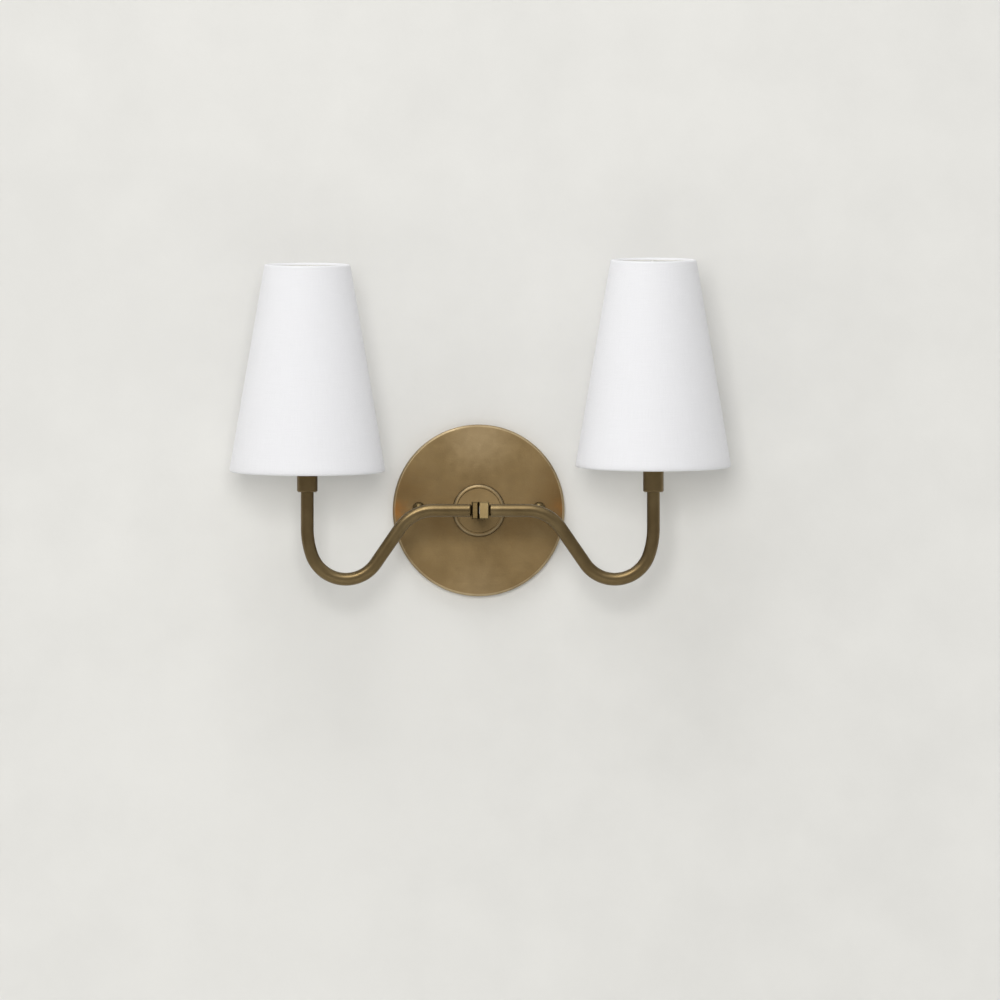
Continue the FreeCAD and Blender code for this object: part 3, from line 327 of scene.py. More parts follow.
class Finish:
    """A node tree that is built from Python expressions."""

    def __init__(self, name, tree=None):
        if tree is None:
            self.material = bpy.data.materials.new(name)
            self.material.use_nodes = True
            tree = self.material.node_tree
        self.tree = tree

    def node(self, kind, settings=None, sockets=None, output=0):
        """One node: its settings are set first, then the values or links of its sockets."""
        made = self.tree.nodes.new(kind)
        for name, setting in (settings or {}).items():
            setattr(made, name, setting)
        for name, given in (sockets or {}).items():
            self.feed(made.inputs[name], given)
        return Socket(self, made.outputs[output])

    def feed(self, socket, given):
        """Link a socket, or set its value."""
        if isinstance(given, Socket):
            self.tree.links.new(given.output, socket)
        else:
            socket.default_value = given

    def surface(self, **sockets):
        """Values or links of the Principled BSDF; _ stands for a space."""
        shader = self.tree.nodes["Principled BSDF"]
        for name, given in sockets.items():
            self.feed(shader.inputs[name.replace("_", " ")], given)

    def place(self):
        """Object coordinates, in metres."""
        return self.node("ShaderNodeTexCoord", output="Object")

    def stretched(self, vector, stretch):
        """Coordinates multiplied along each axis."""
        return self.node(
            "ShaderNodeVectorMath", {"operation": "MULTIPLY"}, {0: vector, 1: stretch})

    def distance(self, vector, point):
        """How far a vector is from a point."""
        return self.node(
            "ShaderNodeVectorMath", {"operation": "DISTANCE"}, {0: vector, 1: point},
            output="Value")

    def split(self, vector):
        """The three parts of a vector."""
        first = self.node("ShaderNodeSeparateXYZ", sockets={0: vector})
        outputs = first.output.node.outputs
        return [Socket(self, outputs[index]) for index in range(3)]

    def noise(self, vector, scale, detail=3.0, roughness=0.5):
        """Noise from 0 to 1."""
        sockets = {"Vector": vector, "Scale": scale, "Detail": detail, "Roughness": roughness}
        return self.node("ShaderNodeTexNoise", sockets=sockets)

    def mixed(self, mask, low, high):
        """A colour between two others."""
        return self.node(
            "ShaderNodeMix", {"data_type": "RGBA"}, {0: mask, 6: low, 7: high}, output=2)

    def bump(self, height, distance, strength=1.0):
        """A normal from a height of 0 to 1 that stands for distance."""
        sockets = {"Height": height, "Distance": distance, "Strength": strength}
        return self.node("ShaderNodeBump", sockets=sockets)


def scaled(colour, parts):
    """A colour with each channel times its part, opaque."""
    return [channel * part for channel, part in zip(colour[:3], parts)] + [1]


# ---- modelling helpers ----

def settle():
    """Leave edit mode with nothing selected."""
    if bpy.context.mode != "OBJECT":
        bpy.ops.object.mode_set(mode="OBJECT")
    bpy.ops.object.select_all(action="DESELECT")


def take(piece):
    """Select one piece alone and make it active."""
    settle()
    piece.select_set(True)
    bpy.context.view_layer.objects.active = piece


def edit(piece):
    """Edit one piece with all of it selected."""
    take(piece)
    bpy.ops.object.mode_set(mode="EDIT")
    bpy.ops.mesh.select_all(action="SELECT")


def named(name):
    """Name the piece that was just added."""
    piece = bpy.context.object
    piece.name = name
    piece.data.name = name
    return piece


def put(piece, placement):
    """Turn and move a piece in its own mesh."""
    take(piece)
    piece.matrix_world = placement
    bpy.ops.object.transform_apply(location=True, rotation=True, scale=True)


def smooth(piece, angle):
    """Smooth shading up to an angle, in degrees."""
    take(piece)
    bpy.ops.object.shade_smooth_by_angle(angle=math.radians(angle))


def modify(piece, kind, **settings):
    """Add a modifier, set it and apply it."""
    take(piece)
    bpy.ops.object.modifier_add(type=kind)
    modifier = piece.modifiers[-1]
    for name, setting in settings.items():
        setattr(modifier, name, setting)
    bpy.ops.object.modifier_apply(modifier=modifier.name)


def arc(across, up, radius, start, end, steps):
    """Points of a profile's arc about (across, up); angles in degrees, both ends included."""
    angles = [math.radians(start + (end - start) * step / steps) for step in range(steps + 1)]
    return [(across + radius * math.cos(a), up + radius * math.sin(a)) for a in angles]


def turned(name, profile, sides):
    """Lathe work: a circle extruded ring by ring through a profile's (radius, height)."""
    settle()
    radius, level = profile[0]
    radius = max(radius, POLE)
    bpy.ops.mesh.primitive_circle_add(vertices=sides, radius=radius, location=(0, 0, level))
    piece = named(name)
    bpy.ops.object.mode_set(mode="EDIT")
    bpy.ops.mesh.select_all(action="SELECT")
    for next_radius, next_level in profile[1:]:
        rise = (0, 0, next_level - level)
        bpy.ops.mesh.extrude_region_move(TRANSFORM_OT_translate={"value": rise})
        ratio = max(next_radius, POLE) / radius
        bpy.ops.transform.resize(value=(ratio, ratio, 1), center_override=(0, 0, next_level))
        radius, level = max(next_radius, POLE), next_level
    bpy.ops.mesh.select_all(action="SELECT")
    bpy.ops.mesh.remove_doubles(threshold=MERGE)
    bpy.ops.mesh.normals_make_consistent(inside=False)
    put(piece, piece.matrix_world.copy())
    return piece


def threaded(name, radius, bore, start, end, thread):
    """A threaded rod or tube along Z: close V rings, thread = (pitch, depth)."""
    pitch, depth = thread
    rings = round((end - start) / pitch)
    step = (end - start) / rings
    profile = [(bore, start)]
    for ring in range(rings):
        root = start + ring * step
        profile += [(radius - depth, root), (radius, root + step / 2)]
    profile += [(radius - depth, end), (bore, end)]
    if bore > POLE:
        profile.append((bore, start))
    return turned(name, profile, THREAD_SIDES)


def cut(piece, cutter, operation="DIFFERENCE"):
    """Cut a piece with another, which is then deleted."""
    modify(piece, "BOOLEAN", operation=operation, object=cutter, solver="EXACT")
    take(cutter)
    bpy.ops.object.delete()


def dress(piece, material, body, slot, *nodes):
    """Give a finished piece its material and its body, and hide the nodes it stands for; slot is
    not used.
    """
    piece.data.materials.clear()
    piece.data.materials.append(material)
    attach(piece, body)
    if nodes:
        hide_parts(*nodes)
    settle()


def finished(node, material, slot, bevel=0.0, angle=METAL_ANGLE):
    """A copy of a built piece with its facets merged, its edges eased and its curves smooth."""
    source = frame["nodes"][node]
    piece = bpy.data.objects.new("fine_" + node, source.data.copy())
    bpy.context.scene.collection.objects.link(piece)
    edit(piece)
    bpy.ops.mesh.remove_doubles(threshold=MERGE)
    bpy.ops.mesh.dissolve_limited(angle_limit=FLAT_ANGLE)
    settle()
    if bevel:
        modify(piece, "BEVEL", width=bevel, segments=2, limit_method="ANGLE",
               angle_limit=math.radians(angle), use_clamp_overlap=True)
    smooth(piece, angle)
    modify(piece, "WEIGHTED_NORMAL", weight=100, keep_sharp=True)
    dress(piece, material, BODY_OF[node], slot, node)
    return piece


# ---- materials ----

def aged_brass(name, look, shade=(1.0, 1.0, 1.0), roughness=0.56, stains_and_light=(), rim=()):
    """Brass browned by hand: clouds of gold and brown, small flecks, patches of stain, painted
    shadow and painted highlight, and a rim of rubbed wear with a painted highlight.
    """
    finish = Finish(name)
    place = finish.place()
    cloud = finish.noise(place, scale=24.0, detail=3.0, roughness=0.6)
    mottle = finish.noise(place, scale=150.0, detail=4.0, roughness=0.6)
    fleck = finish.noise(place, scale=1400.0, detail=2.0)
    thin = (cloud * 0.72 + mottle * 0.28).between(0.30, 0.72)
    dark, light = scaled(look.dark, shade), scaled(look.light, shade)
    colour = finish.mixed(thin, dark, light)
    colour = finish.mixed(fleck.between(0.60, 0.78) * 0.35, colour, dark)
    # patches: stains, painted shadow under the arms and painted highlight at the plate's top and
    # bottom
    for centre, reach, strength, tint in stains_and_light:
        ragged = finish.distance(place, centre) + (mottle - 0.5) * PATCH_RAGGED
        patch = (1.0 - ragged.between(0.0, reach)) * strength
        colour = finish.mixed(patch, colour, getattr(look, tint))
    rough = roughness + (mottle - 0.5) * 0.16 + (fleck - 0.5) * 0.08
    # rim: paler and smoother, partly rubbed wear and partly a painted highlight
    if rim:
        inner, outer, strength = rim
        across, _, up = finish.split(place)
        radius = (across * across + up * up).math("SQRT")
        inside = radius.between(inner - RIM_FADE_INWARD, inner)
        wear_and_highlight = inside * (1.0 - radius.between(outer, outer + RIM_FADE_OUTWARD))
        wear_and_highlight = wear_and_highlight * (0.4 + cloud.between(0.3, 0.6) * 0.6) * strength
        colour = finish.mixed(wear_and_highlight, colour, look.wear_and_highlight)
        rough = rough - wear_and_highlight * 0.20
    streak = finish.noise(finish.stretched(place, (60.0, 60.0, 1600.0)), scale=1.0, detail=2.0)
    relief = streak * 0.4 + fleck * 0.35 + mottle * 0.6
    finish.surface(
        Base_Color=colour, Metallic=1.0, Roughness=rough,
        Normal=finish.bump(relief, distance=0.00006))
    return finish.material


def plain_metal(name, colour, roughness):
    """Plated or turned metal with fine grain and dull smudges."""
    finish = Finish(name)
    place = finish.place()
    grain = finish.noise(place, scale=900.0)
    smudge = finish.noise(place, scale=120.0)
    darker = scaled(colour, (0.72, 0.72, 0.72))
    finish.surface(
        Base_Color=finish.mixed(smudge.between(0.4, 0.75) * 0.6, colour, darker), Metallic=1.0,
        Roughness=roughness + (smudge - 0.5) * 0.25,
        Normal=finish.bump(grain, distance=0.00002))
    return finish.material


def moulded(name, colour, roughness, speck=0.05, glow=0.0):
    """Moulded plastic, paint or paper, a little uneven; paper spreads light inside it and glows
    with painted light that stands in for daylight through the cloth.
    """
    finish = Finish(name)
    place = finish.place()
    cloud = finish.noise(place, scale=90.0)
    grain = finish.noise(place, scale=1500.0, detail=2.0)
    darker = scaled(colour, (1 - 2 * speck,) * 3)
    finish.surface(
        Base_Color=finish.mixed(cloud.between(0.3, 0.7), darker, colour),
        Roughness=roughness + (cloud - 0.5) * 0.15, Subsurface_Weight=glow,
        Subsurface_Radius=EVEN_SPREAD, Subsurface_Scale=CLOTH_SPREAD,
        # painted glow: the part gives off light of its own
        Emission_Color=PAPER_TINT, Emission_Strength=glow * PAPER_GLOW,
        Normal=finish.bump(grain, distance=0.00003))
    return finish.material


def linen(look):
    """Plain-woven linen: over and under threads with slubs, read from the cloth's own map."""
    finish = Finish("shade_linen")
    cloth = finish.node("ShaderNodeUVMap", {"uv_map": "cloth"})
    wobble = finish.noise(cloth, scale=260.0, detail=2.0)
    across, along, _ = finish.split(cloth)
    warp_turn = (across / look.thread + wobble * 0.9) * math.pi
    weft_turn = (along / look.thread + wobble * 0.9) * math.pi
    warp = abs(warp_turn.math("SINE"))
    weft = abs(weft_turn.math("SINE"))
    over = (warp_turn.math("SINE") * weft_turn.math("SINE")).between(-0.25, 0.25)
    height = warp * over + weft * (1.0 - over)
    along_warp = finish.stretched(cloth, (2400.0, 60.0, 1.0))
    along_weft = finish.stretched(cloth, (60.0, 2400.0, 1.0))
    slub_warp = finish.noise(along_warp, scale=1.0, detail=2.0)
    slub_weft = finish.noise(along_weft, scale=1.0, detail=2.0)
    slub = (slub_warp + slub_weft) * 0.5
    shadowed = scaled(look.linen, (0.86, 0.86, 0.86))
    tone = (height * 0.45 + slub * 0.55).between(0.15, 0.75)
    finish.surface(
        Base_Color=finish.mixed(tone, shadowed, look.linen),
        Roughness=0.88 + (slub - 0.5) * 0.1, Sheen_Weight=0.15, Sheen_Roughness=0.5,
        Specular_IOR_Level=0.2, Subsurface_Weight=look.glow, Subsurface_Radius=EVEN_SPREAD,
        Subsurface_Scale=CLOTH_SPREAD,
        Normal=finish.bump(height * 0.6 + slub * 0.7, distance=0.00009, strength=0.6))
    return finish.material


def frosted_glass():
    """Etched bulb glass."""
    finish = Finish("bulb_glass")
    grain = finish.noise(finish.place(), scale=2500.0, detail=2.0)
    finish.surface(
        Base_Color=finish.mixed(grain, (0.90, 0.90, 0.88, 1), (0.95, 0.95, 0.94, 1)),
        Roughness=0.42 + (grain - 0.5) * 0.1, Transmission_Weight=0.55, IOR=1.45,
        Normal=finish.bump(grain, distance=0.00002))
    return finish.material


def plaster(look):
    """Warm white plaster that shows from the room alone; seen from behind, it is clear."""
    finish = Finish("plaster_wall")
    place = finish.place()
    cloud = finish.noise(place, scale=2.2, detail=4.0, roughness=0.55)
    trowel = finish.noise(place, scale=14.0, detail=5.0, roughness=0.6)
    grain = finish.noise(place, scale=320.0)
    pale = [min(channel * 1.03, 1.0) for channel in look.wall[:3]] + [1]
    dull = scaled(look.wall, (0.965, 0.965, 0.965))
    finish.surface(
        Base_Color=finish.mixed((cloud * 0.6 + trowel * 0.4).between(0.35, 0.65), dull, pale),
        Roughness=0.85, Specular_IOR_Level=0.25,
        Normal=finish.bump(trowel * 0.9 + grain * 0.1, distance=0.0012, strength=0.35))
    behind = finish.node("ShaderNodeNewGeometry", output="Backfacing")
    clear = finish.node("ShaderNodeBsdfTransparent")
    solid = Socket(finish, finish.tree.nodes["Principled BSDF"].outputs[0])
    shown = finish.node("ShaderNodeMixShader", sockets={0: behind, 1: solid, 2: clear})
    finish.feed(finish.tree.nodes["Material Output"].inputs["Surface"], shown)
    return finish.material


MATERIALS = {}


def material(key):
    """A shared material, made when it is first needed."""
    scene = bpy.context.scene
    brass, shade = scene.sconce_brass, scene.sconce_shade
    makers = {
        "plate_brass": lambda: aged_brass(
            "plate_brass", brass, stains_and_light=PLATE_STAINS_AND_PAINTED_LIGHT, rim=PLATE_RIM),
        "boss_brass": lambda: aged_brass(
            "boss_brass", brass, shade=(0.9, 0.9, 0.9), roughness=0.52, rim=BOSS_RIM),
        "arm_brass": lambda: aged_brass(
            "arm_brass", brass, shade=(1.08, 1.13, 1.18), roughness=0.36),
        "hub_brass": lambda: aged_brass(
            "hub_brass", brass, shade=(0.85, 0.90, 0.90), roughness=0.42),
        # a darker copy of the hub's brass: painted shade for the cube's left half, which catches
        # the light differently
        "shaded_hub_brass": lambda: aged_brass(
            "shaded_hub_brass", brass, shade=(0.5, 0.5, 0.46), roughness=0.40),
        "plain_brass": lambda: plain_metal("plain_brass", (0.66, 0.52, 0.27, 1), 0.32),
        "zinc": lambda: plain_metal("zinc_plated_steel", (0.62, 0.63, 0.65, 1), 0.38),
        "green_screw": lambda: plain_metal("green_plated_steel", (0.10, 0.36, 0.16, 1), 0.4),
        "phenolic": lambda: moulded("black_phenolic", (0.045, 0.042, 0.04, 1), 0.5),
        "candle": lambda: moulded("candle_ivory", (0.80, 0.74, 0.62, 1), 0.45),
        # the liner glows: painted light inside the shade
        "liner": lambda: moulded(
            "shade_liner_paper", (0.86, 0.86, 0.85, 1), 0.8, speck=0.03, glow=0.7),
        "white_wire": lambda: moulded("white_painted_wire", (0.80, 0.80, 0.78, 1), 0.45),
        "clip_wire": lambda: plain_metal("brass_plated_wire", (0.60, 0.48, 0.27, 1), 0.3),
        "bulb_cap": lambda: plain_metal("nickel_cap", (0.70, 0.68, 0.64, 1), 0.28),
        "glass": frosted_glass,
        "linen": lambda: linen(shade),
        "plaster": lambda: plaster(scene.sconce_stage),
    }
    if key not in MATERIALS:
        MATERIALS[key] = makers[key]()
    return MATERIALS[key]


# ---- operators ----

class SCONCE_OT_plate(bpy.types.Operator):
    """Spun backplate with its rolled edge, boss and cap nuts"""

    bl_idname = "sconce.plate"
    bl_label = "Backplate"

    def execute(self, context):
        finished("backplate", material("plate_brass"), "aged_brass", bevel=0.0002)
        finished("stem_boss", material("boss_brass"), "aged_brass", bevel=0.0007)
        finished("stem_tube", material("arm_brass"), "aged_brass")
        for side in SIDES:
            finished(f"cap_nut_{side}", material("hub_brass"), "aged_brass", bevel=0.0001)
        return {"FINISHED"}


class SCONCE_OT_hub(bpy.types.Operator):
    """Cube of two halves with eased edges, and the arms' rounded plugs"""

    bl_idname = "sconce.hub"
    bl_label = "Hub"

    def execute(self, context):
        for side in SIDES:
            # the left half takes the darker copy of the brass as painted shade
            half = material("shaded_hub_brass" if side == "left" else "hub_brass")
            finished(f"hub_half_{side}", half, "aged_brass", bevel=0.00035)
            finished(f"arm_plug_{side}", material("arm_brass"), "aged_brass")
        return {"FINISHED"}


class SCONCE_OT_arms(bpy.types.Operator):
    """Bent tubes: a ring drawn along the level run, spun round each bend and drawn up the leg"""

    bl_idname = "sconce.arms"
    bl_label = "Arms"

    def draw_right(self, look, steps):
        """The right arm, as an open skin."""
        settle()
        upright = Matrix.Rotation(math.radians(90), 4, "Y")
        bpy.ops.mesh.primitive_circle_add(vertices=TUBE_SIDES, radius=look.tube)
        piece = named("arm_right")
        put(piece, Matrix.Translation((look.start, ARM_DEPTH, 0)) @ upright)
        edit(piece)
        leg_x, leg_top = LEG.x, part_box("arm_tube_right")[1].z
        slope, easing = look.slope, look.easing_turn
        downhill = Vector((math.cos(slope), 0, -math.sin(slope)))
        outward = Vector((math.sin(slope), 0, math.cos(slope)))
        upper_centre = Vector((look.bend_start, ARM_DEPTH, -look.upper))
        upper_end = upper_centre + outward * look.upper
        lower_reach = look.lower * (math.sin(slope) + math.cos(easing))
        easing_reach = look.easing * (1 - math.cos(easing))
        run = (leg_x - upper_end.x - (lower_reach + easing_reach)) / math.cos(slope)
        lower_centre = upper_end + downhill * run + outward * look.lower
        away = Vector((math.cos(easing), 0, -math.sin(easing)))
        easing_centre = lower_centre + away * (look.lower - look.easing)
        self.pull((look.bend_start - look.start, 0, 0), LEVEL_CUTS)
        self.bend(upper_centre, slope, steps)
        self.pull(downhill * run, SLOPE_CUTS)
        self.bend(lower_centre, -(math.pi / 2 + slope - easing), 2 * steps)
        self.bend(easing_centre, -easing, steps // 2)
        self.pull((0, 0, leg_top - easing_centre.z), LEG_CUTS)
        return piece

    def pull(self, way, cuts):
        """Extrude the open ring in equal steps."""
        step = Vector(way) / cuts
        for _ in range(cuts):
            bpy.ops.mesh.extrude_region_move(TRANSFORM_OT_translate={"value": step})

    def bend(self, centre, turn, steps):
        """Spin the open ring about an axis along Y."""
        bpy.ops.mesh.spin(steps=steps, angle=-turn, center=centre, axis=(0, 1, 0))

    def execute(self, context):
        scene = context.scene
        look = scene.sconce_arm
        right = self.draw_right(look, scene.sconce_stage.steps)
        edit(right)
        bpy.ops.mesh.remove_doubles(threshold=MERGE)
        bpy.ops.mesh.normals_make_consistent(inside=False)
        settle()
        modify(right, "SOLIDIFY", thickness=look.wall, offset=-1.0, use_even_offset=True)
        left = right.copy()
        left.data = right.data.copy()
        left.name = "arm_left"
        scene.collection.objects.link(left)
        put(left, Matrix.Scale(-1, 4, (1, 0, 0)))
        edit(left)
        bpy.ops.mesh.normals_make_consistent(inside=False)
        for side, piece in (("left", left), ("right", right)):
            smooth(piece, TUBE_ANGLE)
            dress(piece, material("arm_brass"), "root", "aged_brass", f"arm_tube_{side}")
        return {"FINISHED"}


class SCONCE_OT_lampholders(bpy.types.Operator):
    """Collars, cups, candle sleeves and lampholders"""

    bl_idname = "sconce.lampholders"
    bl_label = "Lampholders"

    def execute(self, context):
        for side in SIDES:
            finished(f"collar_{side}", material("arm_brass"), "aged_brass", bevel=0.00012)
            finished(f"candle_cup_{side}", material("arm_brass"), "aged_brass", bevel=0.00012)
            finished(f"candle_sleeve_{side}", material("candle"), "candle_ivory")
            finished(f"lampholder_{side}", material("phenolic"), "lampholder_black", bevel=0.0001)
            finished(f"screw_shell_{side}", material("plain_brass"), "plain_brass")
            finished(f"centre_contact_{side}", material("plain_brass"), "plain_brass")
            finished(f"socket_nipple_{side}", material("plain_brass"), "plain_brass")
        return {"FINISHED"}


class SCONCE_OT_bulbs(bpy.types.Operator):
    """Frosted candle bulbs with their screw caps and wire clips"""

    bl_idname = "sconce.bulbs"
    bl_label = "Bulbs and clips"

    def execute(self, context):
        for side in SIDES:
            finished(f"bulb_cap_{side}", material("bulb_cap"), "bulb_cap_metal")
            finished(f"bulb_glass_{side}", material("glass"), "bulb_glass")
            finished(f"bulb_clip_{side}", material("clip_wire"), "clip_wire")
        return {"FINISHED"}


class SCONCE_OT_shades(bpy.types.Operator):
    """Linen cones rolled over their rings, with a glued seam at the back"""

    bl_idname = "sconce.shades"
    bl_label = "Shades"

    def profile(self, look, bottom):
        """The cloth's outline: up the outside from the lower hem, over the top and back down."""
        top, hem = look.top_radius, look.hem
        high = look.height - hem
        inner = hem - look.cloth
        slope = (bottom - top) / (look.height - 2 * hem)
        flap = bottom - 2 * hem - look.turn_up * slope
        rise = (high - hem) / CONE_CUTS
        steps = range(1, CONE_CUTS)
        outside = [(bottom - slope * rise * step, hem + rise * step) for step in steps]
        inside = [(radius - look.cloth, level) for radius, level in reversed(outside)]
        return (
            arc(bottom - hem, hem, hem, 180, 360, HEM_CUTS) + outside
            + arc(top - hem, high, hem, 0, 180, HEM_CUTS)
            + arc(top - hem, high, inner, 180, 0, INNER_HEM_CUTS) + inside
            + arc(bottom - hem, hem, inner, 360, 180, INNER_HEM_CUTS)
            + [(flap + look.cloth, hem + look.turn_up), (flap, hem + look.turn_up),
               (bottom - 2 * hem, hem)]
        )

    def map_cloth(self, piece, look, bottom):
        """The cloth's own map: distance round the shade at its middle, and distance up it."""
        middle = (bottom + look.top_radius) / 2
        layer = piece.data.uv_layers.new(name="cloth")
        for face in piece.data.polygons:
            toward = math.atan2(face.center.x, -face.center.y)
            for loop in face.loop_indices:
                point = piece.data.vertices[piece.data.loops[loop].vertex_index].co
                turn = math.atan2(point.x, -point.y)
                if turn - toward > math.pi:
                    turn -= 2 * math.pi
                elif toward - turn > math.pi:
                    turn += 2 * math.pi
                layer.data[loop].uv = (turn * middle, point.z)

    def raise_seam(self, piece, look):
        """Lift a strip of the outer face at the wall side, as a glued lap."""
        edit(piece)
        bpy.ops.mesh.select_all(action="DESELECT")
        bpy.ops.object.mode_set(mode="OBJECT")
        for face in piece.data.polygons:
            middle = face.center
            beyond = middle.y > 0 and abs(middle.x) < look.lap / 2
            outward = face.normal.y > 0.5
            face.select = beyond and outward and look.hem < middle.z < look.height - look.hem
        bpy.ops.object.mode_set(mode="EDIT")
        bpy.ops.mesh.extrude_region_shrink_fatten(
            TRANSFORM_OT_shrink_fatten={"value": look.cloth * SEAM_RISE})
        settle()

    def execute(self, context):
        look = context.scene.sconce_shade
        for side in SIDES:
            node = f"shade_cloth_{side}"
            low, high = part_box(node)
            bottom = (high.x - low.x) / 2
            piece = turned(f"linen_shade_{side}", self.profile(look, bottom), SHADE_SIDES)
            self.map_cloth(piece, look, bottom)
            self.raise_seam(piece, look)
            lean = look.left_lean if side == "left" else look.right_lean
            pivot = Vector(PIVOTS[f"shade_{side}_tilt"])
            hang = Matrix.Translation(pivot) @ Matrix.Rotation(lean, 4, "X")
            put(piece, hang @ Matrix.Translation((0, 0, -look.drop)))
            smooth(piece, CLOTH_ANGLE)
            dress(piece, material("linen"), f"shade_{side}", "shade_linen", node)
            paper, wire = material("liner"), material("white_wire")
            finished(f"shade_liner_{side}", paper, "shade_liner_white", angle=CLOTH_ANGLE)
            finished(f"shade_bottom_ring_{side}", wire, "ring_wire_white", angle=RING_ANGLE)
            finished(f"shade_frame_{side}", wire, "ring_wire_white", angle=CLOTH_ANGLE)
            finished(f"pivot_pin_{side}", material("plain_brass"), "plain_brass")
        return {"FINISHED"}


class SCONCE_OT_fixings(bpy.types.Operator):
    """Strap, threaded studs and tube, chamfered nut, washer and crossed earth screw"""

    bl_idname = "sconce.fixings"
    bl_label = "Fixings"

    def thread_studs(self):
        """Two threaded studs as one piece."""
        low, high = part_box("mounting_studs")
        radius = (high.z - low.z) / 2
        studs = []
        for side, sign in SIDES.items():
            stud = threaded(f"stud_{side}", radius, POLE, 0.0, high.y - low.y, STUD_THREAD)
            middle = Vector((sign * (high.x - radius), high.y, (low.z + high.z) / 2))
            put(stud, Matrix.Translation(middle) @ TOWARDS_ROOM)
            studs.append(stud)
        take(studs[0])
        studs[1].select_set(True)
        bpy.ops.object.join()
        piece = named("threaded_studs")
        smooth(piece, THREAD_ANGLE)
        dress(piece, material("zinc"), BODY_OF["mounting_studs"], "zinc_steel", "mounting_studs")

    def thread_tube(self):
        """The stem's threaded tube."""
        low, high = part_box("stem_nipple")
        radius = (high.x - low.x) / 2
        piece = threaded("threaded_stem", radius, STEM_BORE, -high.y, -low.y, STEM_THREAD)
        put(piece, TOWARDS_ROOM)
        smooth(piece, THREAD_ANGLE)
        dress(piece, material("plain_brass"), BODY_OF["stem_nipple"], "plain_brass", "stem_nipple")

    def cross_recess(self, screw):
        """Sink a cross into the earth screw's head."""
        low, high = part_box("earth_screw")
        middle = (low + high) / 2
        crown = (middle.x, low.y, middle.z)
        reach = (high.x - low.x) * CROSS_REACH
        for half_width, half_height in ((reach, CROSS_WIDTH), (CROSS_WIDTH, reach)):
            settle()
            bpy.ops.mesh.primitive_cube_add(size=1, location=crown)
            cutter = named("recess")
            edit(cutter)
            bpy.ops.transform.resize(
                value=(half_width * 2, CROSS_DEPTH * 2, half_height * 2), center_override=crown)
            cut(screw, cutter)

    def chamfer_nut(self, nut):
        """Turn the locknut's corners down on both faces."""
        low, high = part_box("stem_locknut")
        corner = max(high.x - low.x, high.z - low.z) / 2
        drop = corner * CHAMFER
        face, side = corner - drop * 2, corner * BARREL_MARGIN
        barrel = turned("barrel", [
            (POLE, -high.y), (face, -high.y), (side, -high.y + drop),
            (side, -low.y - drop), (face, -low.y), (POLE, -low.y)], NUT_SIDES)
        put(barrel, TOWARDS_ROOM)
        cut(nut, barrel, "INTERSECT")

    def execute(self, context):
        finished("mounting_strap", material("zinc"), "zinc_steel", bevel=0.0002)
        finished("stem_washer", material("zinc"), "zinc_steel", bevel=0.0001)
        nut = finished("stem_locknut", material("zinc"), "zinc_steel")
        self.chamfer_nut(nut)
        smooth(nut, THREAD_ANGLE)
        screw = finished("earth_screw", material("green_screw"), "earth_green")
        self.cross_recess(screw)
        smooth(screw, SCREW_ANGLE)
        self.thread_studs()
        self.thread_tube()
        return {"FINISHED"}


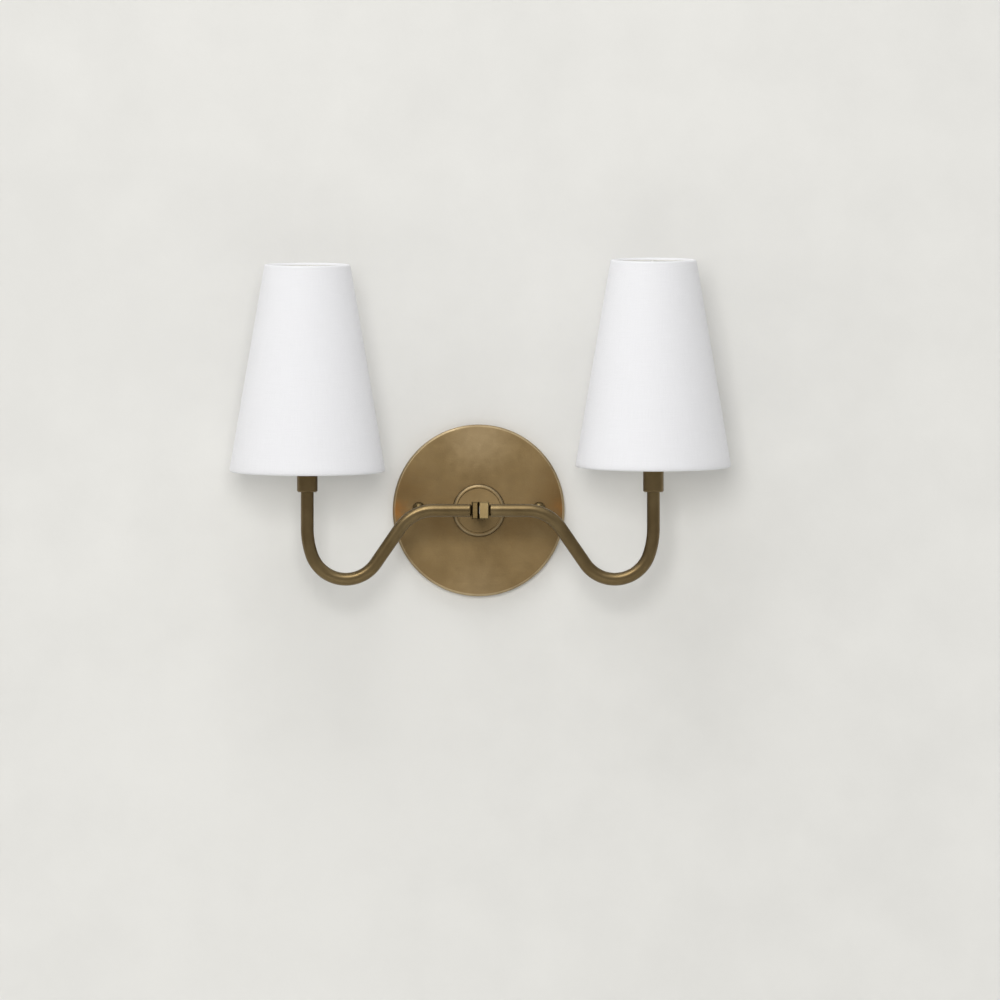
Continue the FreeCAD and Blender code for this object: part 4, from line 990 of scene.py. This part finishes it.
class SCONCE_OT_stage(bpy.types.Operator):
    """Plaster wall with the outlet box's opening, floor, light and camera"""

    bl_idname = "sconce.stage"
    bl_label = "Stage"

    def build_wall(self):
        """A wide wall with a round opening behind the plate."""
        settle()
        bpy.ops.mesh.primitive_circle_add(vertices=WALL_SIDES, radius=OPENING_RADIUS)
        wall = named("plaster_wall")
        bpy.ops.object.mode_set(mode="EDIT")
        bpy.ops.mesh.select_all(action="SELECT")
        bpy.ops.mesh.extrude_region_move()
        bpy.ops.transform.resize(value=(WALL_SPREAD, WALL_SPREAD, 1))
        bpy.ops.mesh.select_all(action="SELECT")
        bpy.ops.mesh.normals_make_consistent(inside=False)
        settle()
        put(wall, Matrix.Translation((0, WALL_GAP, 0)) @ TOWARDS_ROOM)
        if wall.data.polygons[0].normal.y > 0:
            edit(wall)
            bpy.ops.mesh.flip_normals()
        wall.data.materials.append(material("plaster"))

    def build_floor(self):
        """A pale floor far below."""
        settle()
        bpy.ops.mesh.primitive_plane_add(size=FLOOR_SIZE, location=FLOOR_PLACE)
        floor = named("pale_floor")
        put(floor, floor.matrix_world.copy())
        floor.data.materials.append(material("plaster"))

    def add_lamp(self, name, place, size, power):
        """An area lamp of daylight that looks at the hub."""
        settle()
        bpy.ops.object.light_add(type="AREA", location=place)
        lamp = bpy.context.object
        lamp.name = name
        lamp.data.shape = "RECTANGLE"
        lamp.data.size, lamp.data.size_y = size
        lamp.data.energy = power
        lamp.data.color = DAYLIGHT
        gaze = Vector((0, ARM_DEPTH, 0)) - Vector(place)
        lamp.rotation_euler = gaze.to_track_quat("-Z", "Y").to_euler()
        return lamp

    def link(self, lamp, keys, state):
        """EXCLUDE the pieces of some materials from a lamp's light, or INCLUDE them alone."""
        linked = bpy.data.collections.new(lamp.name + "_link")
        finishes = [material(key) for key in keys]
        for piece in bpy.data.objects:
            used = piece.data.materials[:] if piece.type == "MESH" else []
            if any(finish in used for finish in finishes):
                linked.objects.link(piece)
        for entry in linked.collection_objects:
            entry.light_linking.link_state = state
        lamp.light_linking.receiver_collection = linked

    def light_room(self, scene):
        """The room as a light, and the even backdrop that camera, metal and glass see instead."""
        world = bpy.data.worlds.new("daylight")
        world.use_nodes = True
        scene.world = world
        finish = Finish("daylight", world.node_tree)
        direction = finish.node("ShaderNodeTexCoord", output="Generated")
        across, deep, up = finish.split(direction)
        ceiling = up.between(0.62, 0.85)
        low, high = up.between(-0.15, 0.05) * ROOM_LOW, up.between(0.20, 0.45) * ROOM_HIGH
        above = low + high + ceiling * ROOM_CEILING
        left = (across * -1.0).between(0.45, 0.90) * ROOM_LEFT
        beside = left + across.between(0.45, 0.90) * ROOM_RIGHT
        behind = deep.between(0.1, 0.5) * ROOM_BEHIND
        level = ROOM_DARK + above + beside + behind
        backdrop = SEEN_FLOOR + up.between(-0.30, 0.0) * SEEN_WALLS + ceiling * SEEN_CEILING
        seen = finish.node("ShaderNodeLightPath", output="Is Camera Ray")
        for ray in ("Is Glossy Ray", "Is Transmission Ray"):
            seen = seen.math("MAXIMUM", finish.node("ShaderNodeLightPath", output=ray))
        shown = level * (1.0 - seen) + backdrop * seen
        background = finish.tree.nodes["Background"]
        tint = finish.mixed(ceiling, ROOM_TINT, CEILING_TINT)
        finish.feed(background.inputs["Color"], tint)
        finish.feed(background.inputs["Strength"], shown)

    def set_camera(self, scene, look):
        """Level camera in front of the hub, a little to the left, at the photograph's scale."""
        bpy.ops.object.camera_add()
        camera = bpy.context.object
        camera.name = "front_camera"
        back = Vector((math.sin(look.azimuth), -math.cos(look.azimuth), 0))
        camera.location = VIEW_MIDDLE + back * look.distance
        camera.rotation_euler = (-back).to_track_quat("-Z", "Y").to_euler()
        camera.data.sensor_width = SENSOR_WIDTH
        camera.data.lens = SENSOR_WIDTH * look.distance / look.view_width
        camera.data.clip_end = FAR_CLIP
        scene.camera = camera

    def execute(self, context):
        scene = context.scene
        look = scene.sconce_stage
        self.build_wall()
        self.build_floor()
        self.light_room(scene)
        window = self.add_lamp("window", *WINDOW)
        self.link(window, ("arm_brass",), "EXCLUDE")
        self.add_lamp("skylight", *SKYLIGHT)
        glint = self.add_lamp("glint", *GLINT)
        self.link(glint, ("arm_brass", "hub_brass", "shaded_hub_brass", "boss_brass"), "INCLUDE")
        self.set_camera(scene, look)
        scene.view_settings.view_transform = "Standard"
        settle()
        return {"FINISHED"}


class SCONCE_PT_panel(bpy.types.Panel):
    """The sconce's sizes, colours and steps"""

    bl_idname = "SCONCE_PT_panel"
    bl_label = "Double arm wall sconce"
    bl_space_type = "VIEW_3D"
    bl_region_type = "UI"
    bl_category = "Sconce"

    def draw(self, context):
        for group in (context.scene.sconce_brass, context.scene.sconce_arm,
                      context.scene.sconce_shade, context.scene.sconce_stage):
            box = self.layout.box()
            for name in type(group).__annotations__:
                box.prop(group, name)
        for step in STEPS:
            self.layout.operator(step.bl_idname)


GROUPS = {
    "sconce_brass": BrassLook,
    "sconce_arm": ArmLook,
    "sconce_shade": ShadeLook,
    "sconce_stage": StageLook,
}
STEPS = (
    SCONCE_OT_plate, SCONCE_OT_hub, SCONCE_OT_arms, SCONCE_OT_lampholders, SCONCE_OT_bulbs,
    SCONCE_OT_shades, SCONCE_OT_fixings, SCONCE_OT_stage,
)


def register():
    """Register the classes and hang the property groups on the scene."""
    for group in (*GROUPS.values(), *STEPS, SCONCE_PT_panel):
        bpy.utils.register_class(group)
    for name, group in GROUPS.items():
        setattr(bpy.types.Scene, name, PointerProperty(type=group))


def unregister():
    """Take everything out again."""
    for name in GROUPS:
        delattr(bpy.types.Scene, name)
    for group in (SCONCE_PT_panel, *reversed(STEPS), *GROUPS.values()):
        bpy.utils.unregister_class(group)


def main():
    """Build every piece in order."""
    register()
    for step in STEPS:
        family, name = step.bl_idname.split(".")
        getattr(getattr(bpy.ops, family), name)()


if __name__ == "__main__":
    main()
